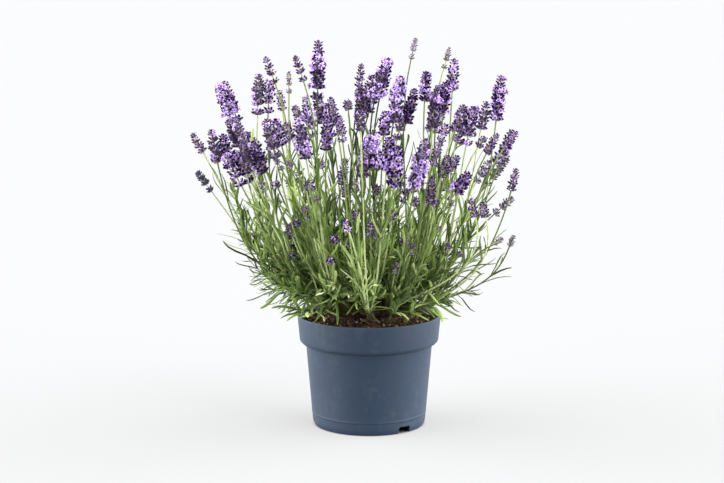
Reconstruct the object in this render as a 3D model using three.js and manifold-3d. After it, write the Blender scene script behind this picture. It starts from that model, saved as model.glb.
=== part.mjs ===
// A potted lavender: a plastic nursery pot, the potting soil in it, the plant that grows out of the soil
// on woody branches, and the flower spikes at the ends of its stems.
// Millimetres, +Z up. The origin is the middle of the pot's underside, on the surface it stands on,
// and the viewer of the reference picture stands at -Y.
import * as THREE from "three";
import { mergeVertices } from "three/addons/utils/BufferGeometryUtils.js";
import Module from "manifold-3d";

const wasm = await Module();
wasm.setup();

// Driving dimensions of the pot, a common 13 cm size
const POT_RADIUS = 65;
const POT_HEIGHT = 101;
const POT_SIDES = 32;
const WALL = 1.6;
const BAND_RADIUS = 62.8;
const BAND_BOTTOM = 77.8;
const SHOULDER_BOTTOM = 74.5;
const SHOULDER_WALL = 0.9;
const WAIST_RADIUS = 57.2;
const FOOT_RADIUS = 51.2;
const FOOT_ROUND = 3;
const FOOT_WIDTH = 3.4;
const FLOOR_BOTTOM = 6.4;
const FLOOR_TOP = 8.2;
const FOOT_PAD_RADIUS = 10;
const NOTCHES = 3;
const NOTCH_ANGLE = -52;
const NOTCH_WIDTH = 12.5;
const DRAIN_HOLES = 6;
const DRAIN_RADIUS = 4.5;
const DRAIN_CIRCLE = 30;

// Driving dimensions of the soil
const GAP = 0.3;
const SOIL_TOP = 94.4;
const SOIL_LUMP = 1.1;
const SOIL_SIDES = 24;

// Driving dimensions of the plant
const STUMP_RADIUS = 8.5;
const STUMP_BOTTOM = 66;
const STUMP_TOP = 102;
const BRANCHES = 12;
const BRANCH_RADIUS = 1.9;
const BRANCH_START = 98.6;
const BRANCH_REACH = [34, 45];
const BRANCH_RISE = [112, 109];
const BRANCH_STEPS = 3;
const STEM_RADIUS = 0.95;
const STEM_STEPS = 4;
const ROOT_RADIUS = 0.42;
const STEM_SPREAD = [10, 56];
const STEM_SWELL = [0.34, 0.1];
const FORK_STEPS = 2;
const CROWN_REACH = 40;
const TALL_SHOOTS = 22;
const LOW_SHOOTS = 8;
const SHOOT_PAIRS = 6;
const LEAF_STEP = 6.6;
const RIB_HALF = 0.75;
const BLADE = 1.15;
const SPREAD_LOSS = 38;
const LEAF_LENGTH = [27, 41];
const LEAF_ROOM = 2.4;
const LEAF_SAMPLES = 6;

// The dome that the flower spikes stand in
const DOME_RADIUS = 134;
const DOME_TOP = 306;
const DOME_DROP = 76;
const DOME_JITTER = 17;
const LEAN_AT_EDGE = 31;
const RULE_CLUMPS = 12;
const RULE_TWINS = 0.4;
const FRONT = -0.1;
const TWIN_APART = 0.72;
const SEED = 2214;
const GOLDEN_ANGLE = Math.PI * (3 - Math.sqrt(5));
const CLEARANCE = 1.5;
const SAMPLES = 32;
const FEET = 0.25;

// What a spike of each age measures: its radius over the florets, the pitch of its whorls, its sides,
// and how far below it a lone whorl stands
const KINDS = {
  open: { radius: 7.4, pitch: 8.4, sides: 5, lone: 10 },
  full: { radius: 6.5, pitch: 8.4, sides: 5, lone: 9 },
  young: { radius: 4.9, pitch: 5.8, sides: 4, lone: 8 },
  bud: { radius: 3.5, pitch: 4.8, sides: 4, lone: 8 },
};
const RACHIS_RADIUS = 1.1;
const LONE_WHORL_HEIGHT = 4.6;

// The spikes that make the outline and the front: the middle of each, its length, its lean towards +X in
// degrees, its age, whether a lone whorl stands below it, and whether a second spike stands against it
const LEADS = [
  { at: [-45, -10, 326], length: 43, lean: 1, kind: "open", lone: true },
  { at: [-89, 0, 324], length: 18, lean: -20, kind: "young", lone: true },
  { at: [-62, -30, 327], length: 17, lean: -18, kind: "young", lone: true },
  { at: [-72, 20, 312], length: 13, lean: 0, kind: "bud", lone: true },
  { at: [-8, 10, 315], length: 22, lean: 7, kind: "young", lone: true },
  { at: [-95, -40, 305], length: 28, lean: 3, kind: "full", lone: true, pair: true },
  { at: [-127, -20, 296], length: 30, lean: -18, kind: "open", pair: true },
  { at: [-152, -10, 257], length: 20, lean: -29, kind: "young" },
  { at: [-147, -30, 228], length: 15, lean: -35, kind: "young", lone: true },
  { at: [-134, -50, 259], length: 30, lean: -10, kind: "full", pair: true },
  { at: [-116, -45, 272], length: 31, lean: -21, kind: "full", pair: true },
  { at: [-119, -65, 244], length: 26, lean: -27, kind: "full", lone: true, pair: true },
  { at: [40, 0, 343], length: 12, lean: 13, kind: "bud", lone: true },
  { at: [70, 10, 334], length: 13, lean: 16, kind: "bud", lone: true },
  { at: [74, -10, 317], length: 29, lean: 3, kind: "full" },
  { at: [65, -45, 300], length: 28, lean: 5, kind: "full" },
  { at: [103, 15, 279], length: 26, lean: 12, kind: "full" },
  { at: [115, 0, 296], length: 41, lean: 6, kind: "open" },
  { at: [89, -30, 278], length: 27, lean: 11, kind: "full", lone: true, pair: true },
  { at: [122, -20, 258], length: 25, lean: 21, kind: "full", lone: true },
  { at: [125, -50, 229], length: 21, lean: 12, kind: "young" },
  { at: [121, -30, 206], length: 15, lean: 47, kind: "young", lone: true },
  { at: [123, -60, 177], length: 11, lean: 19, kind: "bud" },
  { at: [110, -80, 180], length: 10, lean: 57, kind: "bud" },
  { at: [98, -90, 208], length: 15, lean: -14, kind: "young" },
  { at: [86, -110, 213], length: 18, lean: -15, kind: "young" },
  { at: [13, -20, 316], length: 34, lean: 12, kind: "open", pair: true },
  { at: [24, -40, 298], length: 42, lean: 9, kind: "open" },
  { at: [-56, -115, 272], length: 38, lean: -10, kind: "open" },
  { at: [-83, -100, 274], length: 28, lean: -12, kind: "full", lone: true, pair: true },
  { at: [42, -125, 253], length: 44, lean: 12, kind: "open" },
  { at: [15, -125, 260], length: 30, lean: 5, kind: "open", pair: true },
  { at: [-94, -90, 253], length: 30, lean: -18, kind: "full", pair: true },
  { at: [77, -115, 235], length: 21, lean: 32, kind: "full" },
  { at: [-36, -80, 272], length: 30, lean: 3, kind: "full" },
  { at: [-19, -130, 201], length: 12, lean: -18, kind: "young" },
  { at: [0, -103, 258], length: 28, lean: 0, kind: "open", pair: true },
  { at: [-22, -100, 242], length: 25, lean: 8, kind: "young" },
  { at: [59, -112, 233], length: 26, lean: 3, kind: "young" },
  { at: [1, -8, 303], length: 34, lean: 16, kind: "full", pair: true },
  { at: [36, -25, 291], length: 32, lean: 15, kind: "full" },
  { at: [13, -62, 279], length: 22, lean: 4, kind: "full" },
  { at: [50, 5, 306], length: 27, lean: 3, kind: "full" },
  { at: [59, -22, 292], length: 34, lean: 3, kind: "full", pair: true },
  { at: [-79, 10, 293], length: 19, lean: -9, kind: "young" },
];

const radians = THREE.MathUtils.degToRad;
const add = (a, b, k = 1) => [a[0] + b[0] * k, a[1] + b[1] * k, a[2] + b[2] * k];
const dot = (a, b) => a[0] * b[0] + a[1] * b[1] + a[2] * b[2];
const cross = (a, b) => [
  a[1] * b[2] - a[2] * b[1],
  a[2] * b[0] - a[0] * b[2],
  a[0] * b[1] - a[1] * b[0],
];
const unit = (a) => add([0, 0, 0], a, 1 / Math.sqrt(dot(a, a)));
const distance = (a, b) => Math.sqrt(dot(add(a, b, -1), add(a, b, -1)));

// A seeded draw between two numbers
function seeded(seed) {
  let state = seed;
  return (low, high) => {
    state = (Math.imul(state, 1664525) + 1013904223) >>> 0;
    return low + (high - low) * (state / 4294967296);
  };
}

function toSegment(p, a, b) {
  const along = add(b, a, -1);
  const share = dot(add(p, a, -1), along) / dot(along, along);
  return distance(p, add(a, along, Math.min(1, Math.max(0, share))));
}

const toLine = (p, line) =>
  Math.min(...line.slice(1).map((q, k) => toSegment(p, line[k], q)));

function bezier(p, t) {
  const s = 1 - t;
  return [0, 1, 2].map(
    (i) =>
      s * s * s * p[0][i] + 3 * s * s * t * p[1][i] + 3 * s * t * t * p[2][i] + t * t * t * p[3][i],
  );
}

// A woody branch lies just over the soil, from the stump to its reach, and rises at its end
function branchPoint(branch, t) {
  const reach = BRANCH_REACH[branch % 2];
  const angle = (branch * 2 * Math.PI) / BRANCHES;
  const height =
    (1 - t) * (1 - t) * BRANCH_START +
    2 * t * (1 - t) * (BRANCH_START + 0.6) +
    t * t * BRANCH_RISE[branch % 2];
  return [reach * t * Math.cos(angle), reach * t * Math.sin(angle), height];
}

const lineOf = (curve, steps) =>
  Array.from({ length: steps + 1 }, (_, k) => bezier(curve, k / steps));

const branchLine = (branch) =>
  Array.from({ length: BRANCH_STEPS + 1 }, (_, k) => branchPoint(branch, k / BRANCH_STEPS));

// The point at a share of the way along a line of points
function pointOn(line, share) {
  const step = Math.min(line.length - 2, Math.floor(share * (line.length - 1)));
  return add(line[step], add(line[step + 1], line[step], -1), share * (line.length - 1) - step);
}

// The stem from the nearest branch to an end point, as the four points of a cubic curve. The further out
// its end stands, the more the stem spreads at its foot and swells outwards
function stemFromBranch(end, axis) {
  const reach = Math.hypot(end[0], end[1]);
  const angle = Math.atan2(end[1], end[0]);
  const share = Math.min(1, reach / DOME_RADIUS);
  const branch = (Math.round((angle * BRANCHES) / (2 * Math.PI)) + BRANCHES) % BRANCHES;
  const along = (5 + share * CROWN_REACH) / BRANCH_REACH[branch % 2];
  const foot = pointOn(branchLine(branch), Math.min(0.98, along));
  const tilt = radians(STEM_SPREAD[0] + STEM_SPREAD[1] * share);
  const rise = [Math.sin(tilt) * Math.cos(angle), Math.sin(tilt) * Math.sin(angle), Math.cos(tilt)];
  const span = distance(foot, end);
  const swell = span * (STEM_SWELL[0] + STEM_SWELL[1] * share);
  return [foot, add(foot, rise, swell), add(end, axis, -span * 0.4), end];
}

// A stem that forks from another spike's stem and rises beside it
function stemFromFork(spike, fork, draw) {
  const foot = pointOn(fork.line, draw(0.3, 0.5));
  const rise = unit(add(fork.line[fork.line.length - 1], foot, -1));
  const { start, axis } = spike;
  const span = distance(foot, start);
  return [foot, add(foot, rise, span * 0.3), add(start, axis, -span * 0.45), start];
}

function makeSpike(middle, axis, length, kind, lone, draw, fork) {
  const base = add(middle, axis, -length / 2);
  const spike = {
    kind,
    length,
    axis,
    lone,
    base,
    tip: add(middle, axis, length / 2),
    start: lone ? add(base, axis, -KINDS[kind].lone) : base,
    radius: KINDS[kind].radius,
    turn: draw(0, 2 * Math.PI),
  };
  const curve = fork ? stemFromFork(spike, fork, draw) : stemFromBranch(spike.start, spike.axis);
  spike.line = lineOf(curve, fork ? FORK_STEPS : STEM_STEPS);
  spike.samples = Array.from({ length: SAMPLES + 1 }, (_, k) => pointOn(spike.line, k / SAMPLES));
  return spike;
}

// A second spike stands against the first: their florets touch, and their axes are parallel
function makeTwin(spike, draw) {
  const around = unit(cross(spike.axis, [Math.cos(spike.turn), Math.sin(spike.turn), 0.2]));
  const kind = spike.kind === "open" && draw(0, 1) < 0.5 ? "open" : "full";
  const apart = TWIN_APART * (spike.radius + KINDS[kind].radius);
  const shift = draw(-0.28, 0.2) * spike.length;
  const middle = add(add(spike.base, spike.tip), [0, 0, 0]).map((v) => v / 2);
  const place = add(add(middle, around, apart), spike.axis, shift);
  const length = spike.length * draw(0.75, 1);
  return makeSpike(place, spike.axis, length, kind, draw(0, 1) < 0.35, draw, spike);
}

const stemIsClear = (stem, spike) =>
  stem.samples.every(
    (p) => toSegment(p, spike.start, spike.tip) > spike.radius + STEM_RADIUS + CLEARANCE,
  );

const stemsAreClear = (a, b) =>
  a.samples.every((p, k) => k < SAMPLES * FEET || toLine(p, b.line) > 2 * STEM_RADIUS + GAP);

function spikesAreClear(a, b) {
  for (let k = 0; k <= 8; k++) {
    const p = add(a.start, add(a.tip, a.start, -1), k / 8);
    if (toSegment(p, b.start, b.tip) < a.radius + b.radius + CLEARANCE) return false;
  }
  return true;
}

// A clump of one or two spikes fits where no spike meets another clump's spike or stem
function clumpFits(clump, placed) {
  const own = clump.length === 2;
  if (own && !(stemIsClear(clump[0], clump[1]) && stemIsClear(clump[1], clump[0]))) return false;
  return placed.every((other) =>
    other.every((b) =>
      clump.every(
        (a) =>
          spikesAreClear(a, b) &&
          stemIsClear(a, b) &&
          stemIsClear(b, a) &&
          stemsAreClear(a, b) &&
          stemsAreClear(b, a),
      ),
    ),
  );
}

function leadClump(lead, attempt, draw) {
  const stray = Math.min(9, attempt * 0.6);
  const at = lead.at.map((v) => v + draw(-stray, stray));
  const towards = Math.tan(radians((26 * lead.at[1]) / 150));
  const axis = unit([Math.tan(radians(lead.lean)), towards, 1]);
  const spike = makeSpike(at, axis, lead.length, lead.kind, Boolean(lead.lone), draw);
  return lead.pair ? [spike, makeTwin(spike, draw)] : [spike];
}

// The other clumps fill the dome by a rule. Those that would crowd the front stand at the back instead,
// so that the stems between the leading spikes show
function ruleClump(index, draw) {
  const share = Math.pow((index + 0.5) / RULE_CLUMPS, 0.46) * draw(0.86, 1.06);
  const turn = Math.PI / 2 + index * GOLDEN_ANGLE + draw(-0.5, 0.5);
  const angle = Math.sin(turn) < FRONT ? -turn : turn;
  const at = [
    DOME_RADIUS * share * Math.cos(angle),
    DOME_RADIUS * share * Math.sin(angle),
    DOME_TOP - DOME_DROP * share * share + draw(-DOME_JITTER, DOME_JITTER),
  ];
  const lean = Math.tan(radians(LEAN_AT_EDGE)) * share;
  const axis = unit([
    lean * Math.cos(angle) + draw(-0.1, 0.1),
    lean * Math.sin(angle) + draw(-0.1, 0.1),
    1,
  ]);
  const kind = draw(0, 1) < 0.4 ? "open" : "full";
  const length = kind === "open" ? draw(30, 42) : draw(23, 33);
  const spike = makeSpike(at, axis, length, kind, draw(0, 1) < 0.35, draw);
  return draw(0, 1) < RULE_TWINS ? [spike, makeTwin(spike, draw)] : [spike];
}

function layOutClumps(draw) {
  const placed = [];
  const place = (make) => {
    for (let attempt = 0; attempt < 90; attempt++) {
      const clump = make(attempt);
      if (clumpFits(clump, placed)) {
        placed.push(clump);
        return;
      }
    }
  };
  LEADS.forEach((lead) => place((attempt) => leadClump(lead, attempt, draw)));
  for (let index = 0; index < RULE_CLUMPS; index++) place(() => ruleClump(index, draw));
  return placed;
}

// A leaf stays out of the pot and the soil, and clear of the spikes, the stems and the other leaves
function leafFits(root, tip, spikes, lines) {
  for (let k = 1; k <= LEAF_SAMPLES; k++) {
    const p = pointOn([root, tip], k / LEAF_SAMPLES);
    const reach = Math.hypot(p[0], p[1]);
    const floor = reach < 54 ? SOIL_TOP + 4 : POT_HEIGHT + 3;
    if (reach < POT_RADIUS + 4 && p[2] < floor) return false;
    if (spikes.some((spike) => toSegment(p, spike.start, spike.tip) < spike.radius + 3.5)) return false;
    if (lines.some((line) => toLine(p, line) < LEAF_ROOM)) return false;
  }
  return true;
}

// A leafy shoot has a flat rib, and a leaf on each side of every step of the rib. The leaves stand closer
// to the rib towards its end, so that none crosses the next, and where no leaf fits, its tip is left out
function growLeaves(shoot, spikes, lines, draw) {
  const { line } = shoot;
  shoot.tips = [];
  for (let k = 1; k < line.length - 1; k++) {
    const along = unit(add(line[k + 1], line[k], -1));
    const side = unit(cross(along, shoot.face));
    const face = cross(side, along);
    const middle = pointOn([line[k], line[k + 1]], 0.5);
    for (const sign of [1, -1]) {
      const root = add(middle, side, sign * RIB_HALF);
      let tip = null;
      for (let attempt = 0; attempt < 10 && !tip; attempt++) {
        const spread = radians(shoot.spread - (SPREAD_LOSS * k) / line.length + draw(-2, 2));
        const tilt = radians(draw(8, 50)) * (k % 2 === 0 ? 1 : -1);
        const away = add(add([0, 0, 0], side, sign * Math.cos(tilt)), face, Math.sin(tilt));
        const out = add(add([0, 0, 0], along, Math.cos(spread)), away, Math.sin(spread));
        const length = draw(LEAF_LENGTH[0], LEAF_LENGTH[1]) * (1 - (0.35 * k) / line.length);
        const end = add(root, unit(add(out, [0, 0, -1], shoot.droop)), length);
        if (leafFits(root, end, spikes, lines)) tip = end;
      }
      shoot.tips.push(tip);
      if (tip) lines.push([root, tip]);
    }
  }
}

// The tall shoots end in a dome inside the flowers, and the low ones lean out over the rim of the pot,
// but not at the front, where the soil shows
function shootEnd(index, draw) {
  if (index < TALL_SHOOTS) {
    const share = Math.pow((index + 0.5) / TALL_SHOOTS, 0.55);
    const angle = index * GOLDEN_ANGLE + draw(-0.3, 0.3);
    return [share * 92, angle, 186 - 46 * share * share + draw(-10, 10), 48 * share, 0.05];
  }
  const place = (index - TALL_SHOOTS + 1) / (LOW_SHOOTS + 1) - 0.25;
  const angle = place * 2 * Math.PI + draw(-0.25, 0.25);
  return [draw(78, 90), angle, draw(115, 128), draw(58, 80), draw(0.1, 0.35)];
}

function makeShoot(index, draw) {
  const [reach, angle, height, lean, droop] = shootEnd(index, draw);
  const end = [reach * Math.cos(angle), reach * Math.sin(angle), height];
  const tilt = radians(lean);
  const axis = [Math.sin(tilt) * Math.cos(angle), Math.sin(tilt) * Math.sin(angle), Math.cos(tilt)];
  const curve = stemFromBranch(end, axis);
  const turn = draw(0, Math.PI);
  const spread = draw(55, 66);
  const leafy = Math.min(0.8, (SHOOT_PAIRS * LEAF_STEP) / distance(curve[0], end));
  const line = [curve[0]];
  for (let k = 0; k <= SHOOT_PAIRS; k++) line.push(bezier(curve, 1 - leafy * (1 - k / SHOOT_PAIRS)));
  const face = [Math.cos(turn), Math.sin(turn), 0.3];
  return { line, droop, spread, face, end: add(end, axis, 16) };
}

function layOutShoots(clumps, draw) {
  const spikes = clumps.flat();
  const lines = spikes.map((spike) => spike.line);
  const shoots = [];
  for (let index = 0; index < TALL_SHOOTS + LOW_SHOOTS; index++) {
    let best = null;
    for (let attempt = 0; attempt < 16; attempt++) {
      const shoot = makeShoot(index, draw);
      shoot.room = Math.min(
        ...shoot.line.slice(1).map((p) => Math.min(...lines.map((line) => toLine(p, line)))),
      );
      if (!best || shoot.room > best.room) best = shoot;
    }
    shoots.push(best);
    lines.push(best.line);
  }
  shoots.forEach((shoot) => {
    const others = lines.filter((line) => line !== shoot.line);
    growLeaves(shoot, spikes, others, draw);
    others.slice(lines.length - 1).forEach((leaf) => lines.push(leaf));
  });
  return shoots;
}

// Solids and geometries
function solidOf(geometry) {
  const bare = geometry.clone();
  bare.deleteAttribute("normal");
  bare.deleteAttribute("uv");
  const merged = mergeVertices(bare, 1e-4);
  return new wasm.Manifold(
    new wasm.Mesh({
      numProp: 3,
      vertProperties: new Float32Array(merged.attributes.position.array),
      triVerts: new Uint32Array(merged.index.array),
    }),
  );
}

function geometryOf(solid) {
  const mesh = solid.getMesh();
  return new THREE.BufferGeometry()
    .setAttribute("position", new THREE.BufferAttribute(mesh.vertProperties, 3))
    .setIndex(new THREE.BufferAttribute(mesh.triVerts, 1));
}

const unite = (solids) => wasm.Manifold.union(solids);

// A closed skin over rings of points, flat at its start and at its end, or with a point at its end.
// Each ring may be turned half a step from the last, so that its points stand between the last one's
function skin(rings, halfSteps, tip) {
  const sides = rings[0].length;
  const positions = rings.flat(2);
  const index = [];
  for (let k = 2; k < sides; k++) index.push(0, k, k - 1);
  for (let ring = 0; ring < rings.length - 1; ring++)
    for (let k = 0; k < sides; k++) {
      const [a, b] = [ring * sides + k, ring * sides + ((k + 1) % sides)];
      const [c, d] = [a + sides, b + sides];
      if (halfSteps) index.push(a, b, c, b, d, c);
      else index.push(a, b, d, a, d, c);
    }
  const last = (rings.length - 1) * sides;
  if (tip) {
    positions.push(...tip);
    for (let k = 0; k < sides; k++) index.push(last + k, last + ((k + 1) % sides), last + sides);
  } else for (let k = 2; k < sides; k++) index.push(last, last + k - 1, last + k);
  return new THREE.BufferGeometry()
    .setAttribute("position", new THREE.Float32BufferAttribute(positions, 3))
    .setIndex(index);
}

// A round ring of points about an axis, started on the side that is nearest to a direction
function ringAt(middle, axis, towards, radius, sides, turn = 0) {
  const beside = unit(cross(axis, towards));
  const across = cross(beside, axis);
  return Array.from({ length: sides }, (_, k) => {
    const angle = turn + (k * 2 * Math.PI) / sides;
    return add(add(middle, across, radius * Math.cos(angle)), beside, radius * Math.sin(angle));
  });
}

// A limb is a thin tube along a line of points that leads away from the middle of the plant. It starts
// thinner, inside the piece that it grows from, and its end faces along an axis of its own
function limb(line, radius, sides, startRadius, endAxis) {
  const end = line[line.length - 1];
  const towards = unit([-end[1], end[0], 0]);
  const rings = line.map((p, k) => {
    const before = line[Math.max(0, k - 1)];
    const after = line[Math.min(line.length - 1, k + 1)];
    const axis = after === p ? endAxis : unit(add(after, before, -1));
    return ringAt(p, axis, towards, k > 0 ? radius : startRadius, sides);
  });
  return solidOf(skin(rings, false));
}

function lathe(profile, sides) {
  const points = profile.map(([radius, height]) => new THREE.Vector2(radius, height));
  return solidOf(new THREE.LatheGeometry(points, sides).rotateX(Math.PI / 2));
}

function cylinder(radius, low, high, sides, x = 0, y = 0) {
  const body = new THREE.CylinderGeometry(radius, radius, high - low, sides).rotateX(Math.PI / 2);
  return solidOf(body.translate(x, y, (low + high) / 2));
}

// The outer radius of the pot's tapering wall below its shoulder, at a height
const wallRadius = (height) =>
  THREE.MathUtils.mapLinear(height, FOOT_ROUND, SHOULDER_BOTTOM, FOOT_RADIUS, WAIST_RADIUS);

function makePot() {
  const outside = [
    [FOOT_RADIUS - 1.4, 0],
    [FOOT_RADIUS, FOOT_ROUND],
    [WAIST_RADIUS, SHOULDER_BOTTOM],
    [BAND_RADIUS - 2, BAND_BOTTOM - 1.9],
    [BAND_RADIUS, BAND_BOTTOM],
    [POT_RADIUS, POT_HEIGHT - 1.2],
    [POT_RADIUS - 0.5, POT_HEIGHT],
  ];
  const inside = [
    [POT_RADIUS - WALL, POT_HEIGHT],
    [BAND_RADIUS - WALL, BAND_BOTTOM + SHOULDER_WALL],
    [WAIST_RADIUS - WALL, SHOULDER_BOTTOM + SHOULDER_WALL],
    [wallRadius(FLOOR_TOP) - WALL, FLOOR_TOP],
    [0, FLOOR_TOP],
  ];
  const underside = [
    [0, 0],
    [FOOT_PAD_RADIUS, 0],
    [FOOT_PAD_RADIUS + 1, FLOOR_BOTTOM],
    [FOOT_RADIUS - FOOT_WIDTH - 1.2, FLOOR_BOTTOM],
    [FOOT_RADIUS - FOOT_WIDTH, 0],
  ];
  const body = lathe([...underside, ...outside, ...inside], POT_SIDES);
  const cuts = [];
  for (let k = 0; k < NOTCHES; k++) {
    const depth = FOOT_WIDTH * 3;
    const notch = new THREE.BoxGeometry(depth, NOTCH_WIDTH, FLOOR_BOTTOM * 2)
      .translate(FOOT_RADIUS - FOOT_WIDTH, 0, 0)
      .rotateZ(radians(NOTCH_ANGLE + (360 * k) / NOTCHES));
    cuts.push(solidOf(notch));
  }
  for (let k = 0; k < DRAIN_HOLES; k++) {
    const angle = ((k + 0.5) * 2 * Math.PI) / DRAIN_HOLES;
    const [x, y] = [DRAIN_CIRCLE * Math.cos(angle), DRAIN_CIRCLE * Math.sin(angle)];
    cuts.push(cylinder(DRAIN_RADIUS, FLOOR_BOTTOM - 1, FLOOR_TOP + 1, 9, x, y));
  }
  return body.subtract(unite(cuts));
}

// Soil fills the pot to just under its rim, with a lumpy top and a plain hole for the stump
function soilHeight(x, y) {
  const coarse = Math.sin(x * 0.21 + 1.3) * Math.cos(y * 0.19 + 0.4);
  const fine = Math.sin(x * 0.53 - y * 0.37) * Math.cos(y * 0.61 + x * 0.13);
  return SOIL_TOP + SOIL_LUMP * (0.6 * coarse + 0.4 * fine);
}

function makeSoil() {
  const bandInside = (height) =>
    THREE.MathUtils.mapLinear(height, BAND_BOTTOM, POT_HEIGHT, BAND_RADIUS, POT_RADIUS) - WALL;
  const edge = SOIL_TOP - 1.5;
  const rings = [14, 30, 46];
  const profile = [
    [0, FLOOR_TOP + GAP],
    [wallRadius(FLOOR_TOP) - WALL - GAP * 2, FLOOR_TOP + GAP],
    [WAIST_RADIUS - WALL - GAP * 2, SHOULDER_BOTTOM + SHOULDER_WALL + 0.4],
    [BAND_RADIUS - WALL - GAP * 2, BAND_BOTTOM + SHOULDER_WALL + 0.4],
    [bandInside(edge) - GAP * 2, edge],
    ...rings.toReversed().map((radius) => [radius, SOIL_TOP]),
    [0, SOIL_TOP],
  ];
  const points = profile.map(([radius, height]) => new THREE.Vector2(radius, height));
  const body = new THREE.LatheGeometry(points, SOIL_SIDES).rotateX(Math.PI / 2);
  const position = body.attributes.position;
  for (let k = 0; k < position.count; k++)
    if (Math.abs(position.getZ(k) - SOIL_TOP) < 0.01)
      position.setZ(k, soilHeight(position.getX(k), position.getY(k)));
  const hole = cylinder(STUMP_RADIUS + 2 * GAP, STUMP_BOTTOM - GAP, SOIL_TOP + 9, 14);
  return solidOf(body).subtract(hole);
}

function stump() {
  const profile = [
    [0, STUMP_BOTTOM],
    [STUMP_RADIUS * 0.55, STUMP_BOTTOM],
    [STUMP_RADIUS, STUMP_BOTTOM + 16],
    [STUMP_RADIUS * 0.96, SOIL_TOP + 3],
    [STUMP_RADIUS * 0.5, STUMP_TOP],
    [0, STUMP_TOP],
  ];
  return lathe(profile, 10);
}

function stemSolid(spike) {
  const line = [...spike.line.slice(0, -1), add(spike.start, spike.axis, -GAP - 0.05)];
  return limb(line, STEM_RADIUS, 3, ROOT_RADIUS, spike.axis);
}

// A shoot is one thin blade: its rib, the leaves on both edges of the rib, and a leaf at its end.
// The two faces of the blade are the same triangles
function shootSolid(shoot) {
  const { line, tips, face, end } = shoot;
  const points = [];
  const point = (p, normal) => {
    points.push(add(p, normal, BLADE / 2), add(p, normal, -BLADE / 2));
    return points.length - 2;
  };
  const edges = line.map((p, k) => {
    const along = unit(add(line[Math.min(line.length - 1, k + 1)], line[Math.max(0, k - 1)], -1));
    const side = unit(cross(along, face));
    const normal = cross(side, along);
    return [1, -1].map((sign) => point(add(p, side, sign * RIB_HALF), normal)).concat([normal]);
  });
  const index = [];
  const plate = (a, b, c) => index.push(a, b, c, c + 1, b + 1, a + 1);
  const wall = (a, b) => index.push(a, a + 1, b, b, a + 1, b + 1);
  const [first, last] = [edges[0], edges[edges.length - 1]];
  wall(first[1], first[0]);
  for (let k = 0; k + 1 < edges.length; k++) {
    const [a, b, normal] = edges[k];
    const [c, d] = edges[k + 1];
    plate(a, c, b);
    plate(b, c, d);
    const [left, right] = k > 0 ? [tips[2 * k - 2], tips[2 * k - 1]] : [null, null];
    if (left) {
      const q = point(left, normal);
      plate(a, q, c);
      wall(a, q);
      wall(q, c);
    } else wall(a, c);
    if (right) {
      const q = point(right, normal);
      plate(d, q, b);
      wall(d, q);
      wall(q, b);
    } else wall(d, b);
  }
  const q = point(end, last[2]);
  plate(last[0], q, last[1]);
  wall(last[0], q);
  wall(q, last[1]);
  return solidOf(
    new THREE.BufferGeometry()
      .setAttribute("position", new THREE.Float32BufferAttribute(points.flat(), 3))
      .setIndex(index),
  );
}

function makePlant(clumps, shoots) {
  const branches = Array.from({ length: BRANCHES }, (_, k) => {
    const line = branchLine(k);
    return limb(line, BRANCH_RADIUS, 5, 1, unit(add(line[BRANCH_STEPS], line[BRANCH_STEPS - 1], -1)));
  });
  const stems = clumps.flat().map(stemSolid);
  return unite([stump(), ...branches, ...stems, ...shoots.map(shootSolid)]);
}

// A spike is a relief over its axis: each whorl is a ring of floret tips over a ring that draws in, and
// the rings are turned so that the florets of one whorl stand between those of the next
function spikeSolid(spike) {
  const { pitch, sides } = KINDS[spike.kind];
  const whorls = Math.max(2, Math.round(spike.length / pitch));
  const step = spike.length / whorls;
  const rings = [];
  const ring = (from, height, radius) => {
    const turn = spike.turn + (rings.length * Math.PI) / sides;
    rings.push(ringAt(add(from, spike.axis, height), spike.axis, [1, 0, 0], radius, sides, turn));
  };
  if (spike.lone) {
    ring(spike.start, 0, spike.radius * 0.5);
    ring(spike.start, LONE_WHORL_HEIGHT * 0.6, spike.radius * 0.85);
    ring(spike.start, LONE_WHORL_HEIGHT, RACHIS_RADIUS);
  }
  ring(spike.base, 0, RACHIS_RADIUS);
  for (let k = 0; k < whorls; k++) {
    const share = (k + 0.5) / whorls;
    const girth = Math.sqrt(1 - Math.pow(Math.max(0, share - 0.4) / 0.68, 2));
    ring(spike.base, (k + 0.55) * step, spike.radius * girth);
    if (k < whorls - 1) ring(spike.base, (k + 0.95) * step, spike.radius * girth * 0.55);
  }
  return solidOf(skin(rings, true, spike.tip));
}

const finish = (color, roughness) => new THREE.MeshStandardMaterial({ color, roughness, metalness: 0 });
const potPlastic = finish(0x43536c, 0.42);
const peat = finish(0x35251c, 1);
const foliage = finish(0x74905c, 0.75);
const blossom = finish(0x6c51a6, 0.8);

const draw = seeded(SEED);
const clumps = layOutClumps(draw);
const shoots = layOutShoots(clumps, draw);

const lavender = new THREE.Group();
function place(name, solid, material) {
  const mesh = new THREE.Mesh(geometryOf(solid), material);
  mesh.name = name;
  lavender.add(mesh);
}
place("pot", makePot(), potPlastic);
place("soil", makeSoil(), peat);
place("plant", makePlant(clumps, shoots), foliage);
clumps.forEach((clump, index) => {
  const name = "flower_" + String(index + 1).padStart(2, "0");
  place(name, unite(clump.map(spikeSolid)), blossom);
});

export default lavender;
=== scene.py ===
"""A potted lavender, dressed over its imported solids.

The plan of the stems, flower spikes and leafy shoots is laid out first, by the same rules and seeded
draws as the solids. Geometry Nodes then sweep the stems and leaves along that plan, set the calyces and
open florets on the spikes, and scatter the crumbs on the soil.
Sizes are written in millimetres, and meshes are made in metres.
"""

import math

import bmesh
import bpy
import numpy as np
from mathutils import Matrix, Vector, noise


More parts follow.
